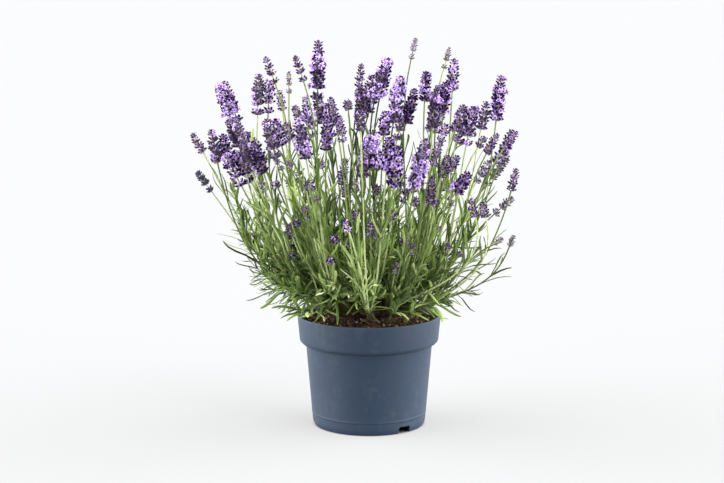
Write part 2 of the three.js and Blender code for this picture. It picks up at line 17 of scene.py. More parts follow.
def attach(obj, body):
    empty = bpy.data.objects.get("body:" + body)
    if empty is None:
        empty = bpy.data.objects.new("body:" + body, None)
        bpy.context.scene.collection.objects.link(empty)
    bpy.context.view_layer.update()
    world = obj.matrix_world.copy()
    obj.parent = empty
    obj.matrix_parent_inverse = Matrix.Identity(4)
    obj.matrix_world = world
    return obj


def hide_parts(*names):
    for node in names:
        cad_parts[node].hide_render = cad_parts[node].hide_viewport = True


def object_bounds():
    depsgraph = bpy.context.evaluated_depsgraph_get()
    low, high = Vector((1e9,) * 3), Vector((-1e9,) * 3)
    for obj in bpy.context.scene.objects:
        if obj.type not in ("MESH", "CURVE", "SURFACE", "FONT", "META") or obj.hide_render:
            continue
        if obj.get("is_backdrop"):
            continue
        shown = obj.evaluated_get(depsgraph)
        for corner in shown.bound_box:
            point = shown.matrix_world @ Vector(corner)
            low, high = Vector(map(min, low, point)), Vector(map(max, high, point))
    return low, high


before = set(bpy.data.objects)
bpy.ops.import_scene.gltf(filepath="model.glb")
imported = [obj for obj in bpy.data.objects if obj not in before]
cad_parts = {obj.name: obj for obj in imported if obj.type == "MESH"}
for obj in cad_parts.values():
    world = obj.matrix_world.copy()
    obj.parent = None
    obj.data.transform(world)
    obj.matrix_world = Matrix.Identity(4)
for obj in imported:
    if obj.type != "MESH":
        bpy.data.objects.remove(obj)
solid_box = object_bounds()

MM = 0.001
FULL_TURN = 2 * math.pi

# The camera of the reference picture
CAMERA_PLACE = (-6.4, -1550.0, 415.0)
CAMERA_PITCH = 9.1
CAMERA_LENS = 86.8
CAMERA_SENSOR = 36.0
CAMERA_REACH = 200.0

camera_data = bpy.data.cameras.new("camera")
camera_data.lens = CAMERA_LENS
camera_data.sensor_width = CAMERA_SENSOR
camera_data.clip_end = CAMERA_REACH
camera = bpy.data.objects.new("camera", camera_data)
camera.location = [v * MM for v in CAMERA_PLACE]
camera.rotation_euler = (math.radians(90 - CAMERA_PITCH), 0, 0)
bpy.context.scene.collection.objects.link(camera)
bpy.context.scene.camera = camera

# The pot, a common 13 cm size
POT_RADIUS = 65.0
POT_HEIGHT = 101.0
WALL = 1.6
BAND_RADIUS = 62.8
BAND_BOTTOM = 77.8
SHOULDER_BOTTOM = 74.5
SHOULDER_WALL = 0.9
WAIST_RADIUS = 57.2
FOOT_RADIUS = 51.2
FOOT_ROUND = 3.0
FOOT_WIDTH = 3.4
FLOOR_BOTTOM = 6.4
FLOOR_TOP = 8.2
FOOT_PAD_RADIUS = 10.0

# Its notches, which reach in by so many foot widths and are rounded at the top, and its drain holes
NOTCHES = 3
NOTCH_ANGLE = -52.0
NOTCH_WIDTH = 12.5
NOTCH_REACH = 2.6
NOTCH_ROUND = (1.6, 0.5)
DRAIN_HOLES = 6
DRAIN_RADIUS = 4.5
DRAIN_CIRCLE = 30.0
DRAIN_SIDES = 24
CUT_PAST = 1.0

# The soil and the gap round it
SOIL_TOP = 94.4
SOIL_LUMP = 1.1
SOIL_EDGE = 1.5
GAP = 0.3

# The woody base, the stems and the leafy shoots
STUMP_RADIUS = 8.5
STUMP_BOTTOM = 66.0
STUMP_TOP = 102.0
BRANCHES = 12
BRANCH_RADIUS = 1.9
BRANCH_START = 98.6
BRANCH_REACH = (34.0, 45.0)
BRANCH_RISE = (112.0, 109.0)
BRANCH_STEPS = 3
STEM_RADIUS = 0.95
STEM_STEPS = 4
STEM_SPREAD = (10.0, 56.0)
STEM_SWELL = (0.34, 0.1)
FORK_STEPS = 2
CROWN_REACH = 40.0
TALL_SHOOTS = 22
LOW_SHOOTS = 8
SHOOT_PAIRS = 6
LEAF_STEP = 6.6
RIB_HALF = 0.75
SPREAD_LOSS = 38.0
LEAF_LENGTH = (27.0, 41.0)
LEAF_ROOM = 2.4
LEAF_SAMPLES = 6

# The dome that the flower spikes stand in, and the rule that fills it
DOME_RADIUS = 134.0
DOME_TOP = 306.0
DOME_DROP = 76.0
DOME_JITTER = 17.0
LEAN_AT_EDGE = 31.0
RULE_CLUMPS = 12
RULE_TWINS = 0.4
FRONT = -0.1
TWIN_APART = 0.72
SEED = 2214
GOLDEN_ANGLE = math.pi * (3 - math.sqrt(5))
CLEARANCE = 1.5
SAMPLES = 32
FEET = 0.25

# Radius over the florets, pitch of the whorls, and how far below a lone whorl stands, by age
KINDS = {
    "open": (7.4, 6.2, 10.0),
    "full": (6.5, 5.8, 9.0),
    "young": (4.9, 5.2, 8.0),
    "bud": (3.5, 4.4, 8.0),
}
LONE_WHORL_HEIGHT = 4.6

# How finely the pot, the soil, the wood and the stems are dressed, and how uneven they are
POT_SEGMENTS = 160
POT_CREASE = 38.0
FOOT_LINE = 11.6
SOIL_SEGMENTS = 180
SOIL_RINGS = 52
SOIL_ROUGHNESS = 0.8
STEM_POINTS = 18
STEM_SIDES = 6
STEM_GIRTH = 0.82
STEM_SWAY = 0.7
HEAD_STEPS = 5
SHOOT_STEPS = 10
STUMP_SIDES = 24
WOOD_STEPS = 9
WOOD_SIDES = 8

# The seed of every draw that the solids don't share
DRESS_SEED = 90210

# Crumbs and bark on the soil: stretch, number in a square metre, smallest and largest radius, and seed
SOIL_BITS = {
    "peat_crumbs": (1.0, 230000, 0.45, 1.5, 11),
    "bark_bits": (2.4, 16000, 0.7, 1.7, 12),
}

# Leaves are brightest from this reach outwards, where the light comes in
LIT_REACH = 82.0
DEEP_SHADE = 0.28
LIT_SHADE = 0.94
# Painted shade and light on low leaves: darker at the plant's two sides and brighter between them
LOW_LEAF_HEIGHT = 178.0
SIDE_LEAF_REACH = 42.0
LEAF_FADE = 22.0
SIDE_LEAF_PAINTED_SHADE = 0.5
MIDDLE_LEAF_PAINTED_LIGHT = 1.3
LEAF_FLOOR = POT_HEIGHT + 6
# How far the scene's own leaves stay off the soil, which shows inside its reach, and off the rim
SOIL_REACH = 50.0
SOIL_ROOM = 4.0
RIM_ROOM = 5.0
RIM_SIDE_ROOM = 8.0

# The half-width of the leaves and their length, by where they grow
SHOOT_LEAF_HALF = (1.2, 1.9)
TOP_LEAVES = 4
TOP_LEAF_HALF = (0.9, 1.4)
TOP_LEAF_LENGTH = (11, 18)
FILLER_LEAF_HALF = (0.9, 1.6)
FILLER_LEAF_LENGTH = (20, 38)
FILLER_LEAF_STEP = 6.5
SMALL_LEAF_HALF = (0.7, 1.1)
SMALL_LEAF_LENGTH = (8, 14)
STEM_LEAF_HALF = (0.8, 1.5)
STEM_LEAF_LENGTH = (18, 40)
STEM_LEAF_PAIRS = 5
STEM_LEAF_REACH = (0.08, 0.76)
STEM_LEAF_SHADES = (0.9, 0.4)
# Sides, flatness and fold of a leaf's section
LEAF_SECTION = (6, 0.17, 0.22)
STEM_LEAF_SECTION = (6, 0.2, 0.2)
# Each section of a leaf: its place along the leaf and its share of the width
LEAF_SECTIONS = ((0, 0.34), (0.16, 0.7), (0.38, 0.96), (0.6, 1), (0.8, 0.88), (0.94, 0.58), (1, 0.2))

# The shoots that fill the bush: the shift of their middle, their number and their reach
BUSH_SHIFT = -13.0
FILLERS = 72
FILLER_REACH = 98.0
# The lowest and highest of their ends, and by how much the highest falls outwards
FILLER_HEIGHT = (122, 200, 50)
# Their lean at the edge, and the bare share at their foot
FILLER_LEAN = 52.0
FILLER_BARE = 0.32
# Ends of the leafy shoots that fill the bush on its left, rise among the heads and lean over the soil
SIDE_SHOOTS = (
    (-115, -10, 187), (-106, -25, 172), (-119, 5, 205), (-95, -40, 160), (-99, -20, 196), (-104, 15, 180),
    (-88, -50, 186), (-72, -45, 240), (-60, -50, 232), (-46, -40, 242), (58, -60, 200), (22, -60, 222),
    (48, -50, 124), (24, -58, 118), (62, -26, 128), (40, -40, 140), (58, -38, 120), (40, -50, 117),
)
SIDE_SHOOT_LEAN = (0.7, 0.7, 1)

# Small heads all round the bush: their number, where they may stand, their length and their room
LOW_BUDS = 34
LOW_BUD_REACH = (40, 124)
LOW_BUD_HEIGHT = (146, 236)
LOW_BUD_LENGTH = (5, 14)
LOW_BUD_ROOM = 12.0
# The small heads that show at the front of the bush, among the stems: across, height and length
SMALL_HEADS = (
    (56, 262, 18), (64, 250, 15), (70, 248, 20), (70, 281, 9), (62, 279, 11), (74, 290, 10),
    (-67, 278, 18), (-60, 295, 12), (-24, 284, 20), (-8, 288, 20), (-18, 301, 9), (-78, 251, 8),
    (-67, 248, 7), (19, 246, 14), (-91, 225, 10), (-50, 230, 10), (-44, 219, 6), (-55, 208, 7),
    (-62, 195, 5), (-69, 191, 5), (-11, 206, 11), (1, 196, 6), (6, 192, 7), (19, 205, 7),
    (30, 180, 6), (37, 176, 5), (69, 213, 6), (54, 215, 6), (59, 190, 4), (-79, 228, 5),
    (-68, 161, 4), (-30, 182, 5), (-33, 162, 4), (23, 159, 4), (-92, 200, 6), (-102, 172, 4),
    (79, 161, 4), (68, 172, 4), (124, 262, 18), (104, 263, 21), (99, 241, 17),
    (117, 233, 24), (94, 266, 12), (-30, 297, 28),
)
# The reach of the bush's front at the pot's rim, and what each millimetre over the rim adds to it
BUSH_REACH = (60.0, 0.42)

# A calyx one unit long: the height, radius and place along it of each of its rings
CALYX_RINGS = ((0.0, 0.07, 0.0), (0.28, 0.16, 0.28), (0.6, 0.19, 0.6), (0.86, 0.15, 0.86))
CALYX_SIDES = 5
CALYX_TIP = 1.05
CALYX_REACH = 0.95
CALYX_STALK = 0.5
CALYX_SIZES = (0.86, 1.06)
TOP_CALYCES = 7
TOP_LENGTH = 0.62
TOP_LEAN = 0.34
# Lean from the stalk in degrees, rise as a share of the pitch and number of calyces, tier by tier
TIERS = {
    "open": ((68, 0.02, 8), (46, 0.26, 6)),
    "full": ((68, 0.02, 8), (46, 0.26, 6)),
    "young": ((62, 0.04, 7), (42, 0.28, 5)),
    "bud": ((56, 0.06, 6), (34, 0.34, 4)),
}
# Shares of the calyces with an open floret, and how far each kind has turned grey-green
BLOOM = {"open": 0.34, "full": 0.08, "young": 0.0, "bud": 0.0}
AGE = {"open": 0.03, "full": 0.05, "young": 0.06, "bud": 0.34}
TINT_SPREAD = 0.42
PETAL_BUDS = 0.14
FLORET_SIZES = (2.2, 3.2)
LOBE_REACH = (1.2, 0.8, 0.95, 0.8, 1.2)
LOBE_TURN = 0.44
BRACTS = 6
BRACT_REACH = (0.5, 0.86)
# Seeds for how the shapes on the spikes are turned; each kind of calyx adds one to the first
CALYX_SEED = 31
COROLLA_SEED = 22
PETAL_BUD_SEED = 24
BRACT_SEED = 23
# The clump whose spikes are faded to a dusky blue, and how far
DUSKY_CLUMP = 8
DUSK = 0.85

# The studio: its floor, its walls and its suns, each with a strength, a spread, an azimuth and a height
FLOOR_REACH = 40.0
FLOOR_COLOR = (0.13, 0.13, 0.133, 1)
FLOOR_GLOW = 0.5
# How far from the foot's edge the floor begins to glow, and where it glows in full; the patch inside is a
# painted shadow under the pot
PAINTED_SHADOW_EDGES = (-4.0, 1.0)
WALL_COLOR = (0.95, 0.97, 1.0, 1)
WALL_EDGES = (0.4, 0.98)
WALL_LIGHT = 11.0
ROOM_EDGES = (-0.8, 0.8)
FRONT_LIGHT = 0.1
BACK_LIGHT = 2.0
LIGHTS = {
    "left light": (0.3, 50, -40, 40),
    "right light": (1.1, 22, 32, 46),
    "top light": (0.5, 60, 0, 75),
}

# The spikes that make the outline and the front: middle, length, lean, age, lone whorl, twin
LEADS = [
    ((-45, -10, 326), 43, 1, "open", True, False),
    ((-89, 0, 324), 18, -20, "young", True, False),
    ((-62, -30, 327), 17, -18, "young", True, False),
    ((-72, 20, 312), 13, 0, "bud", True, False),
    ((-8, 10, 315), 22, 7, "young", True, False),
    ((-95, -40, 305), 28, 3, "full", True, True),
    ((-127, -20, 296), 30, -18, "open", False, True),
    ((-152, -10, 257), 20, -29, "young", False, False),
    ((-147, -30, 228), 15, -35, "young", True, False),
    ((-134, -50, 259), 30, -10, "full", False, True),
    ((-116, -45, 272), 31, -21, "full", False, True),
    ((-119, -65, 244), 26, -27, "full", True, True),
    ((40, 0, 343), 12, 13, "bud", True, False),
    ((70, 10, 334), 13, 16, "bud", True, False),
    ((74, -10, 317), 29, 3, "full", False, False),
    ((65, -45, 300), 28, 5, "full", False, False),
    ((103, 15, 279), 26, 12, "full", False, False),
    ((115, 0, 296), 41, 6, "open", False, False),
    ((89, -30, 278), 27, 11, "full", True, True),
    ((122, -20, 258), 25, 21, "full", True, False),
    ((125, -50, 229), 21, 12, "young", False, False),
    ((121, -30, 206), 15, 47, "young", True, False),
    ((123, -60, 177), 11, 19, "bud", False, False),
    ((110, -80, 180), 10, 57, "bud", False, False),
    ((98, -90, 208), 15, -14, "young", False, False),
    ((86, -110, 213), 18, -15, "young", False, False),
    ((13, -20, 316), 34, 12, "open", False, True),
    ((24, -40, 298), 42, 9, "open", False, False),
    ((-56, -115, 272), 38, -10, "open", False, False),
    ((-83, -100, 274), 28, -12, "full", True, True),
    ((42, -125, 253), 44, 12, "open", False, False),
    ((15, -125, 260), 30, 5, "open", False, True),
    ((-94, -90, 253), 30, -18, "full", False, True),
    ((77, -115, 235), 21, 32, "full", False, False),
    ((-36, -80, 272), 30, 3, "full", False, False),
    ((-19, -130, 201), 12, -18, "young", False, False),
    ((0, -103, 258), 28, 0, "open", False, True),
    ((-22, -100, 242), 25, 8, "young", False, False),
    ((59, -112, 233), 26, 3, "young", False, False),
    ((1, -8, 303), 34, 16, "full", False, True),
    ((36, -25, 291), 32, 15, "full", False, False),
    ((13, -62, 279), 22, 4, "full", False, False),
    ((50, 5, 306), 27, 3, "full", False, False),
    ((59, -22, 292), 34, 3, "full", False, True),
    ((-79, 10, 293), 19, -9, "young", False, False),
]


# Small helpers for points
def point(*values):
    return np.array(values, dtype=np.float64)


def point_round(reach, angle, height):
    """A point at a reach from the plant's middle and an angle round it."""
    return point(reach * math.cos(angle), reach * math.sin(angle), height)


def unit(a):
    return a / math.sqrt(float(a @ a))


def leaning(tilt, angle):
    """The direction that is tilted from upright towards an angle."""
    return point(math.sin(tilt) * math.cos(angle), math.sin(tilt) * math.sin(angle), math.cos(tilt))


def across(axis, angle):
    """A direction square to the axis, at an angle round it."""
    side = unit(np.cross(axis, point(0.31, 0.17, 0.94) if abs(axis[2]) < 0.9 else point(1, 0, 0)))
    return side * math.cos(angle) + np.cross(axis, side) * math.sin(angle)


def rounded(value):
    return int(math.floor(value + 0.5))


def held(value):
    """The value, held between 0 and 1."""
    return min(1.0, max(0.0, value))


def seeded(seed):
    """A seeded draw between two numbers."""
    state = seed

    def draw(low, high):
        nonlocal state
        state = (state * 1664525 + 1013904223) & 0xFFFFFFFF
        return low + (high - low) * (state / 4294967296)

    return draw


def to_segments(points, starts, ends):
    """The distances from each point to each segment, one row for each point."""
    along = ends - starts
    share = ((points[:, None] - starts[None]) * along[None]).sum(2) / (along * along).sum(1)[None]
    share = np.clip(share, 0.0, 1.0)
    nearest = starts[None] + along[None] * share[..., None]
    return np.sqrt(((points[:, None] - nearest) ** 2).sum(2))


def bezier(curve, t):
    s = 1 - t
    return (
        s * s * s * curve[0] + 3 * s * s * t * curve[1] + 3 * s * t * t * curve[2] + t * t * t * curve[3]
    )


def line_of(curve, steps):
    return np.array([bezier(curve, k / steps) for k in range(steps + 1)])


def point_on(line, share):
    step = min(len(line) - 2, math.floor(share * (len(line) - 1)))
    return line[step] + (line[step + 1] - line[step]) * (share * (len(line) - 1) - step)


# The plan of the plant, as its solids have it
def branch_point(branch, t):
    """A point on a woody branch over the soil, at a share of its length."""
    reach = BRANCH_REACH[branch % 2]
    angle = branch * FULL_TURN / BRANCHES
    height = (
        (1 - t) * (1 - t) * BRANCH_START
        + 2 * t * (1 - t) * (BRANCH_START + 0.6)
        + t * t * BRANCH_RISE[branch % 2]
    )
    return point_round(reach * t, angle, height)


def branch_line(branch):
    """The branch as the solids have it, in a few straight steps."""
    return np.array([branch_point(branch, k / BRANCH_STEPS) for k in range(BRANCH_STEPS + 1)])


def stem_from_branch(end, axis):
    """The curve of a stem, from the nearest woody branch up to its end."""
    reach = math.hypot(end[0], end[1])
    angle = math.atan2(end[1], end[0])
    share = min(1.0, reach / DOME_RADIUS)
    branch = (rounded(angle * BRANCHES / FULL_TURN) + BRANCHES) % BRANCHES
    along = (5 + share * CROWN_REACH) / BRANCH_REACH[branch % 2]
    foot = point_on(branch_line(branch), min(0.98, along))
    rise = leaning(math.radians(STEM_SPREAD[0] + STEM_SPREAD[1] * share), angle)
    span = math.dist(foot, end)
    swell = span * (STEM_SWELL[0] + STEM_SWELL[1] * share)
    return np.array([foot, foot + rise * swell, end - axis * (span * 0.4), end])


def stem_from_fork(start, axis, fork, draw):
    """The curve of a twin's stem, which forks off the stem of its first spike."""
    foot = point_on(fork["line"], draw(0.3, 0.5))
    rise = unit(fork["line"][-1] - foot)
    span = math.dist(foot, start)
    return np.array([foot, foot + rise * (span * 0.3), start - axis * (span * 0.45), start])


def make_spike(middle, axis, length, kind, lone, draw, fork=None):
    """One flower spike and its stem, by the middle of its head."""
    radius, _, drop = KINDS[kind]
    base = middle - axis * (length / 2)
    start = base - axis * drop if lone else base
    spike = {
        "kind": kind,
        "length": length,
        "axis": axis,
        "lone": lone,
        "base": base,
        "tip": middle + axis * (length / 2),
        "start": start,
        "radius": radius,
        "turn": draw(0, FULL_TURN),
    }
    curve = stem_from_fork(start, axis, fork, draw) if fork else stem_from_branch(start, axis)
    spike["curve"] = curve
    spike["line"] = line_of(curve, FORK_STEPS if fork else STEM_STEPS)
    spike["samples"] = np.array([point_on(spike["line"], k / SAMPLES) for k in range(SAMPLES + 1)])
    return spike


def make_twin(spike, draw):
    """A second spike that stands against the first."""
    around = unit(np.cross(spike["axis"], point(math.cos(spike["turn"]), math.sin(spike["turn"]), 0.2)))
    kind = "open" if spike["kind"] == "open" and draw(0, 1) < 0.5 else "full"
    apart = TWIN_APART * (spike["radius"] + KINDS[kind][0])
    shift = draw(-0.28, 0.2) * spike["length"]
    middle = (spike["base"] + spike["tip"]) / 2
    place = middle + around * apart + spike["axis"] * shift
    length = spike["length"] * draw(0.75, 1)
    lone = draw(0, 1) < 0.35
    return make_spike(place, spike["axis"], length, kind, lone, draw, spike)


def core_of(spikes):
    """Where the middle lines of the heads start and end."""
    return np.array([s["start"] for s in spikes]), np.array([s["tip"] for s in spikes])


def stem_is_clear(stem, spike):
    starts, ends = core_of([spike])
    return to_segments(stem["samples"], starts, ends).min() > spike["radius"] + STEM_RADIUS + CLEARANCE


def clump_fits(clump, placed):
    """Whether a clump's heads and stems keep clear of each other and of all that is placed."""
    if len(clump) == 2 and not (stem_is_clear(*clump) and stem_is_clear(*clump[::-1])):
        return False
    if not placed:
        return True
    starts, tips = core_of(placed)
    radii = np.array([s["radius"] for s in placed])
    samples = np.concatenate([s["samples"] for s in placed])
    upper = np.concatenate([s["samples"][int(SAMPLES * FEET) :] for s in placed])
    segment_starts = np.concatenate([s["line"][:-1] for s in placed])
    segment_ends = np.concatenate([s["line"][1:] for s in placed])
    stem_room = 2 * STEM_RADIUS + GAP
    for spike in clump:
        own = np.array([spike["start"] + (spike["tip"] - spike["start"]) * (k / 8) for k in range(9)])
        own_start, own_tip = core_of([spike])
        if (to_segments(own, starts, tips) < radii + spike["radius"] + CLEARANCE).any():
            return False
        if (to_segments(spike["samples"], starts, tips) <= radii + STEM_RADIUS + CLEARANCE).any():
            return False
        if to_segments(samples, own_start, own_tip).min() <= spike["radius"] + STEM_RADIUS + CLEARANCE:
            return False
        own_upper = spike["samples"][int(SAMPLES * FEET) :]
        if to_segments(own_upper, segment_starts, segment_ends).min() <= stem_room:
            return False
        if to_segments(upper, spike["line"][:-1], spike["line"][1:]).min() <= stem_room:
            return False
    return True


def lead_clump(lead, attempt, draw):
    """A listed spike, which strays further on each attempt, with its twin if it has one."""
    at, length, lean, kind, lone, pair = lead
    stray = min(9, attempt * 0.6)
    middle = point(*[v + draw(-stray, stray) for v in at])
    towards = math.tan(math.radians(26 * at[1] / 150))
    axis = unit(point(math.tan(math.radians(lean)), towards, 1))
    spike = make_spike(middle, axis, length, kind, lone, draw)
    return [spike, make_twin(spike, draw)] if pair else [spike]


def rule_clump(index, draw):
    """A spike that fills the dome at its sides and back, now and then with a twin."""
    share = math.pow((index + 0.5) / RULE_CLUMPS, 0.46) * draw(0.86, 1.06)
    turn = math.pi / 2 + index * GOLDEN_ANGLE + draw(-0.5, 0.5)
    angle = -turn if math.sin(turn) < FRONT else turn
    at = point(
        DOME_RADIUS * share * math.cos(angle),
        DOME_RADIUS * share * math.sin(angle),
        DOME_TOP - DOME_DROP * share * share + draw(-DOME_JITTER, DOME_JITTER),
    )
    lean = math.tan(math.radians(LEAN_AT_EDGE)) * share
    side = lean * math.cos(angle) + draw(-0.1, 0.1)
    back = lean * math.sin(angle) + draw(-0.1, 0.1)
    kind = "open" if draw(0, 1) < 0.4 else "full"
    length = draw(30, 42) if kind == "open" else draw(23, 33)
    lone = draw(0, 1) < 0.35
    spike = make_spike(at, unit(point(side, back, 1)), length, kind, lone, draw)
    return [spike, make_twin(spike, draw)] if draw(0, 1) < RULE_TWINS else [spike]


def lay_out_clumps(draw):
    """Every clump in its order; one that finds no room is left out."""
    clumps = []
    placed = []

    def place(make):
        for attempt in range(90):
            clump = make(attempt)
            if clump_fits(clump, placed):
                clumps.append(clump)
                placed.extend(clump)
                return

    for lead in LEADS:
        place(lambda attempt, lead=lead: lead_clump(lead, attempt, draw))
    for index in range(RULE_CLUMPS):
        place(lambda attempt, index=index: rule_clump(index, draw))
    return clumps


class Room:
    """What a leaf has to stay clear of: the spikes, and the lines of stems, ribs and other leaves."""

    def __init__(self, spikes):
        self.starts, self.tips = core_of(spikes)
        self.radii = np.array([s["radius"] for s in spikes])
        self.lines = []

    def add(self, line, owner):
        self.lines.append((line, owner))

    def segments(self, owner=None):
        kept = [line for line, own in self.lines if own is None or own != owner]
        return np.concatenate([x[:-1] for x in kept]), np.concatenate([x[1:] for x in kept])

    def fits(self, root, tip, starts, ends):
        steps = np.arange(1, LEAF_SAMPLES + 1)[:, None] / LEAF_SAMPLES
        points = root + (tip - root) * steps
        reach = np.hypot(points[:, 0], points[:, 1])
        floor = np.where(reach < 54, SOIL_TOP + 4, POT_HEIGHT + 3)
        if ((reach < POT_RADIUS + 4) & (points[:, 2] < floor)).any():
            return False
        if (to_segments(points, self.starts, self.tips) < self.radii + 3.5).any():
            return False
        return to_segments(points, starts, ends).min() >= LEAF_ROOM


def grow_leaves(shoot, index, room, draw):
    """Pairs of leaves along a shoot, each leaf kept where it finds room."""
    line = shoot["line"]
    starts, ends = room.segments(owner=index)
    shoot["leaves"] = []
    for k in range(1, len(line) - 1):
        along = unit(line[k + 1] - line[k])
        side = unit(np.cross(along, shoot["face"]))
        face = np.cross(side, along)
        middle = point_on(line[k : k + 2], 0.5)
        for sign in (1, -1):
            root = middle + side * (sign * RIB_HALF)
            tip = None
            for _ in range(10):
                spread = math.radians(shoot["spread"] - SPREAD_LOSS * k / len(line) + draw(-2, 2))
                tilt = math.radians(draw(8, 50)) * (1 if k % 2 == 0 else -1)
                away = side * (sign * math.cos(tilt)) + face * math.sin(tilt)
                out = along * math.cos(spread) + away * math.sin(spread)
                length = draw(*LEAF_LENGTH) * (1 - 0.35 * k / len(line))
                end = root + unit(out + point(0, 0, -1) * shoot["droop"]) * length
                if room.fits(root, end, starts, ends):
                    tip = end
                    break
            if tip is not None:
                shoot["leaves"].append((root, tip, along))
                room.add(np.array([root, tip]), None)
                starts = np.concatenate([starts, [root]])
                ends = np.concatenate([ends, [tip]])


def shoot_end(index, draw):
    """The reach, angle, height, lean and droop of a leafy shoot's end."""
    if index < TALL_SHOOTS:
        share = math.pow((index + 0.5) / TALL_SHOOTS, 0.55)
        angle = index * GOLDEN_ANGLE + draw(-0.3, 0.3)
        return share * 92, angle, 186 - 46 * share * share + draw(-10, 10), 48 * share, 0.05
    place = (index - TALL_SHOOTS + 1) / (LOW_SHOOTS + 1) - 0.25
    angle = place * FULL_TURN + draw(-0.25, 0.25)
    return draw(78, 90), angle, draw(115, 128), draw(58, 80), draw(0.1, 0.35)


def make_shoot(index, draw):
    """A leafy shoot without its leaves; its line is bare up to the first pair."""
    reach, angle, height, lean, droop = shoot_end(index, draw)
    end = point_round(reach, angle, height)
    axis = leaning(math.radians(lean), angle)
    curve = stem_from_branch(end, axis)
    turn = draw(0, math.pi)
    spread = draw(55, 66)
    leafy = min(0.8, SHOOT_PAIRS * LEAF_STEP / math.dist(curve[0], end))
    shares = [1 - leafy * (1 - k / SHOOT_PAIRS) for k in range(SHOOT_PAIRS + 1)]
    return {
        "curve": curve,
        "line": np.array([curve[0]] + [bezier(curve, t) for t in shares]),
        "droop": droop,
        "spread": spread,
        "face": point(math.cos(turn), math.sin(turn), 0.3),
        "end": end + axis * 16,
        "axis": axis,
    }


def lay_out_shoots(clumps, draw):
    """Every leafy shoot, each the one with the most room of several, and then their leaves."""
    spikes = [s for clump in clumps for s in clump]
    room = Room(spikes)
    for spike in spikes:
        room.add(spike["line"], None)
    shoots = []
    for index in range(TALL_SHOOTS + LOW_SHOOTS):
        starts, ends = room.segments()
        best = None
        for _ in range(16):
            shoot = make_shoot(index, draw)
            shoot["room"] = to_segments(shoot["line"][1:], starts, ends).min()
            if best is None or shoot["room"] > best["room"]:
                best = shoot
        shoots.append(best)
        room.add(best["line"], index)
    for index, shoot in enumerate(shoots):
        grow_leaves(shoot, index, room, draw)
    return shoots


plan_draw = seeded(SEED)
clumps = lay_out_clumps(plan_draw)
shoots = lay_out_shoots(clumps, plan_draw)


# Making and keeping pieces
def linear(red, green, blue):
    """A colour read as 0 to 255 from a screen, as the shaders take it."""
    shares = [value / 255 for value in (red, green, blue)]
    return (*[s / 12.92 if s <= 0.04045 else ((s + 0.055) / 1.055) ** 2.4 for s in shares], 1.0)


def mesh_from(name, verts, faces, edges=()):
    """A smooth mesh from points in millimetres."""
    mesh = bpy.data.meshes.new(name)
    mesh.from_pydata([[c * MM for c in v] for v in verts], list(edges), faces)
    mesh.shade_smooth()
    mesh.update()
    return mesh


def new_object(name, mesh):
    thing = bpy.data.objects.new(name, mesh)
    bpy.context.scene.collection.objects.link(thing)
    return thing


def put_values(mesh, name, values, kind="FLOAT", field="value"):
    layer = mesh.attributes.new(name, kind, "POINT")
    layer.data.foreach_set(field, np.asarray(values, dtype=np.float32).ravel())


def frozen(thing, name, *helpers):
    """The evaluated shape as a plain object; what it was made from goes away."""
    bpy.context.view_layer.update()
    graph = bpy.context.evaluated_depsgraph_get()
    mesh = bpy.data.meshes.new_from_object(thing.evaluated_get(graph), depsgraph=graph)
    mesh.name = name
    for used in (thing, *helpers):
        bpy.data.objects.remove(used)
    return new_object(name, mesh)


def keep(piece, slot, *nodes):
    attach(piece, "root")
    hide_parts(*nodes)


# Node trees
class Nodes:
    """Makes and joins the nodes of one tree."""

    def __init__(self, tree):
        self.tree = tree

    def join(self, value, socket):
        if isinstance(value, bpy.types.NodeSocket):
            self.tree.links.new(value, socket)
        else:
            socket.default_value = value

    def node(self, kind, settings=None, numbered=None, **sockets):
        made = self.tree.nodes.new(kind)
        for name, value in (settings or {}).items():
            setattr(made, name, value)
        for index, value in (numbered or {}).items():
            self.join(value, made.inputs[index])
        for name, value in sockets.items():
            self.join(value, made.inputs[name.replace("_", " ")])
        return made

    def calculate(self, operation, *values):
        return self.node("ShaderNodeMath", {"operation": operation}, dict(enumerate(values))).outputs[0]

    def split(self, vector):
        """The three parts of a vector."""
        return self.node("ShaderNodeSeparateXYZ", numbered={0: vector}).outputs

    def span(self, value, low, high, to_low=0.0, to_high=1.0, way="LINEAR"):
        """The value carried from one span to another, and held at its ends."""
        sockets = {0: value, 1: low, 2: high, 3: to_low, 4: to_high}
        return self.node("ShaderNodeMapRange", {"interpolation_type": way}, sockets).outputs[0]


class Growth(Nodes):
    """A Geometry Nodes tree with named inputs that ends as real geometry with its material."""

    def __init__(self, name, inputs):
        super().__init__(bpy.data.node_groups.new(name, "GeometryNodeTree"))
        face = self.tree.interface
        face.new_socket("Geometry", in_out="INPUT", socket_type="NodeSocketGeometry")
        self.keys = {}
        for label, kind in inputs.items():
            self.keys[label] = face.new_socket(label, in_out="INPUT", socket_type=kind).identifier
        face.new_socket("Geometry", in_out="OUTPUT", socket_type="NodeSocketGeometry")
        self.given = self.tree.nodes.new("NodeGroupInput").outputs
        self.result = self.tree.nodes.new("NodeGroupOutput").inputs[0]

    def read(self, name, kind="FLOAT"):
        return self.node("GeometryNodeInputNamedAttribute", {"data_type": kind}, Name=name).outputs[0]

    def chance(self, low, high, kind="FLOAT"):
        """A seeded random value for each point or instance."""
        first, out = (2, 1) if kind == "FLOAT" else (0, 0)
        limits = {first: low, first + 1: high}
        drawn = self.node("FunctionNodeRandomValue", {"data_type": kind}, limits, Seed=self.given["Seed"])
        return drawn.outputs[out]

    def finish(self, geometry):
        real = self.node("GeometryNodeRealizeInstances", Geometry=geometry)
        coated = self.node(
            "GeometryNodeSetMaterial", Geometry=real.outputs[0], Material=self.given["Material"]
        )
        self.join(coated.outputs[0], self.result)

    def use(self, thing, name, *helpers, **values):
        modifier = thing.modifiers.new(self.tree.name, "NODES")
        modifier.node_group = self.tree
        for label, value in values.items():
            modifier[self.keys[label.replace("_", " ")]] = value
        return frozen(thing, name, *helpers)


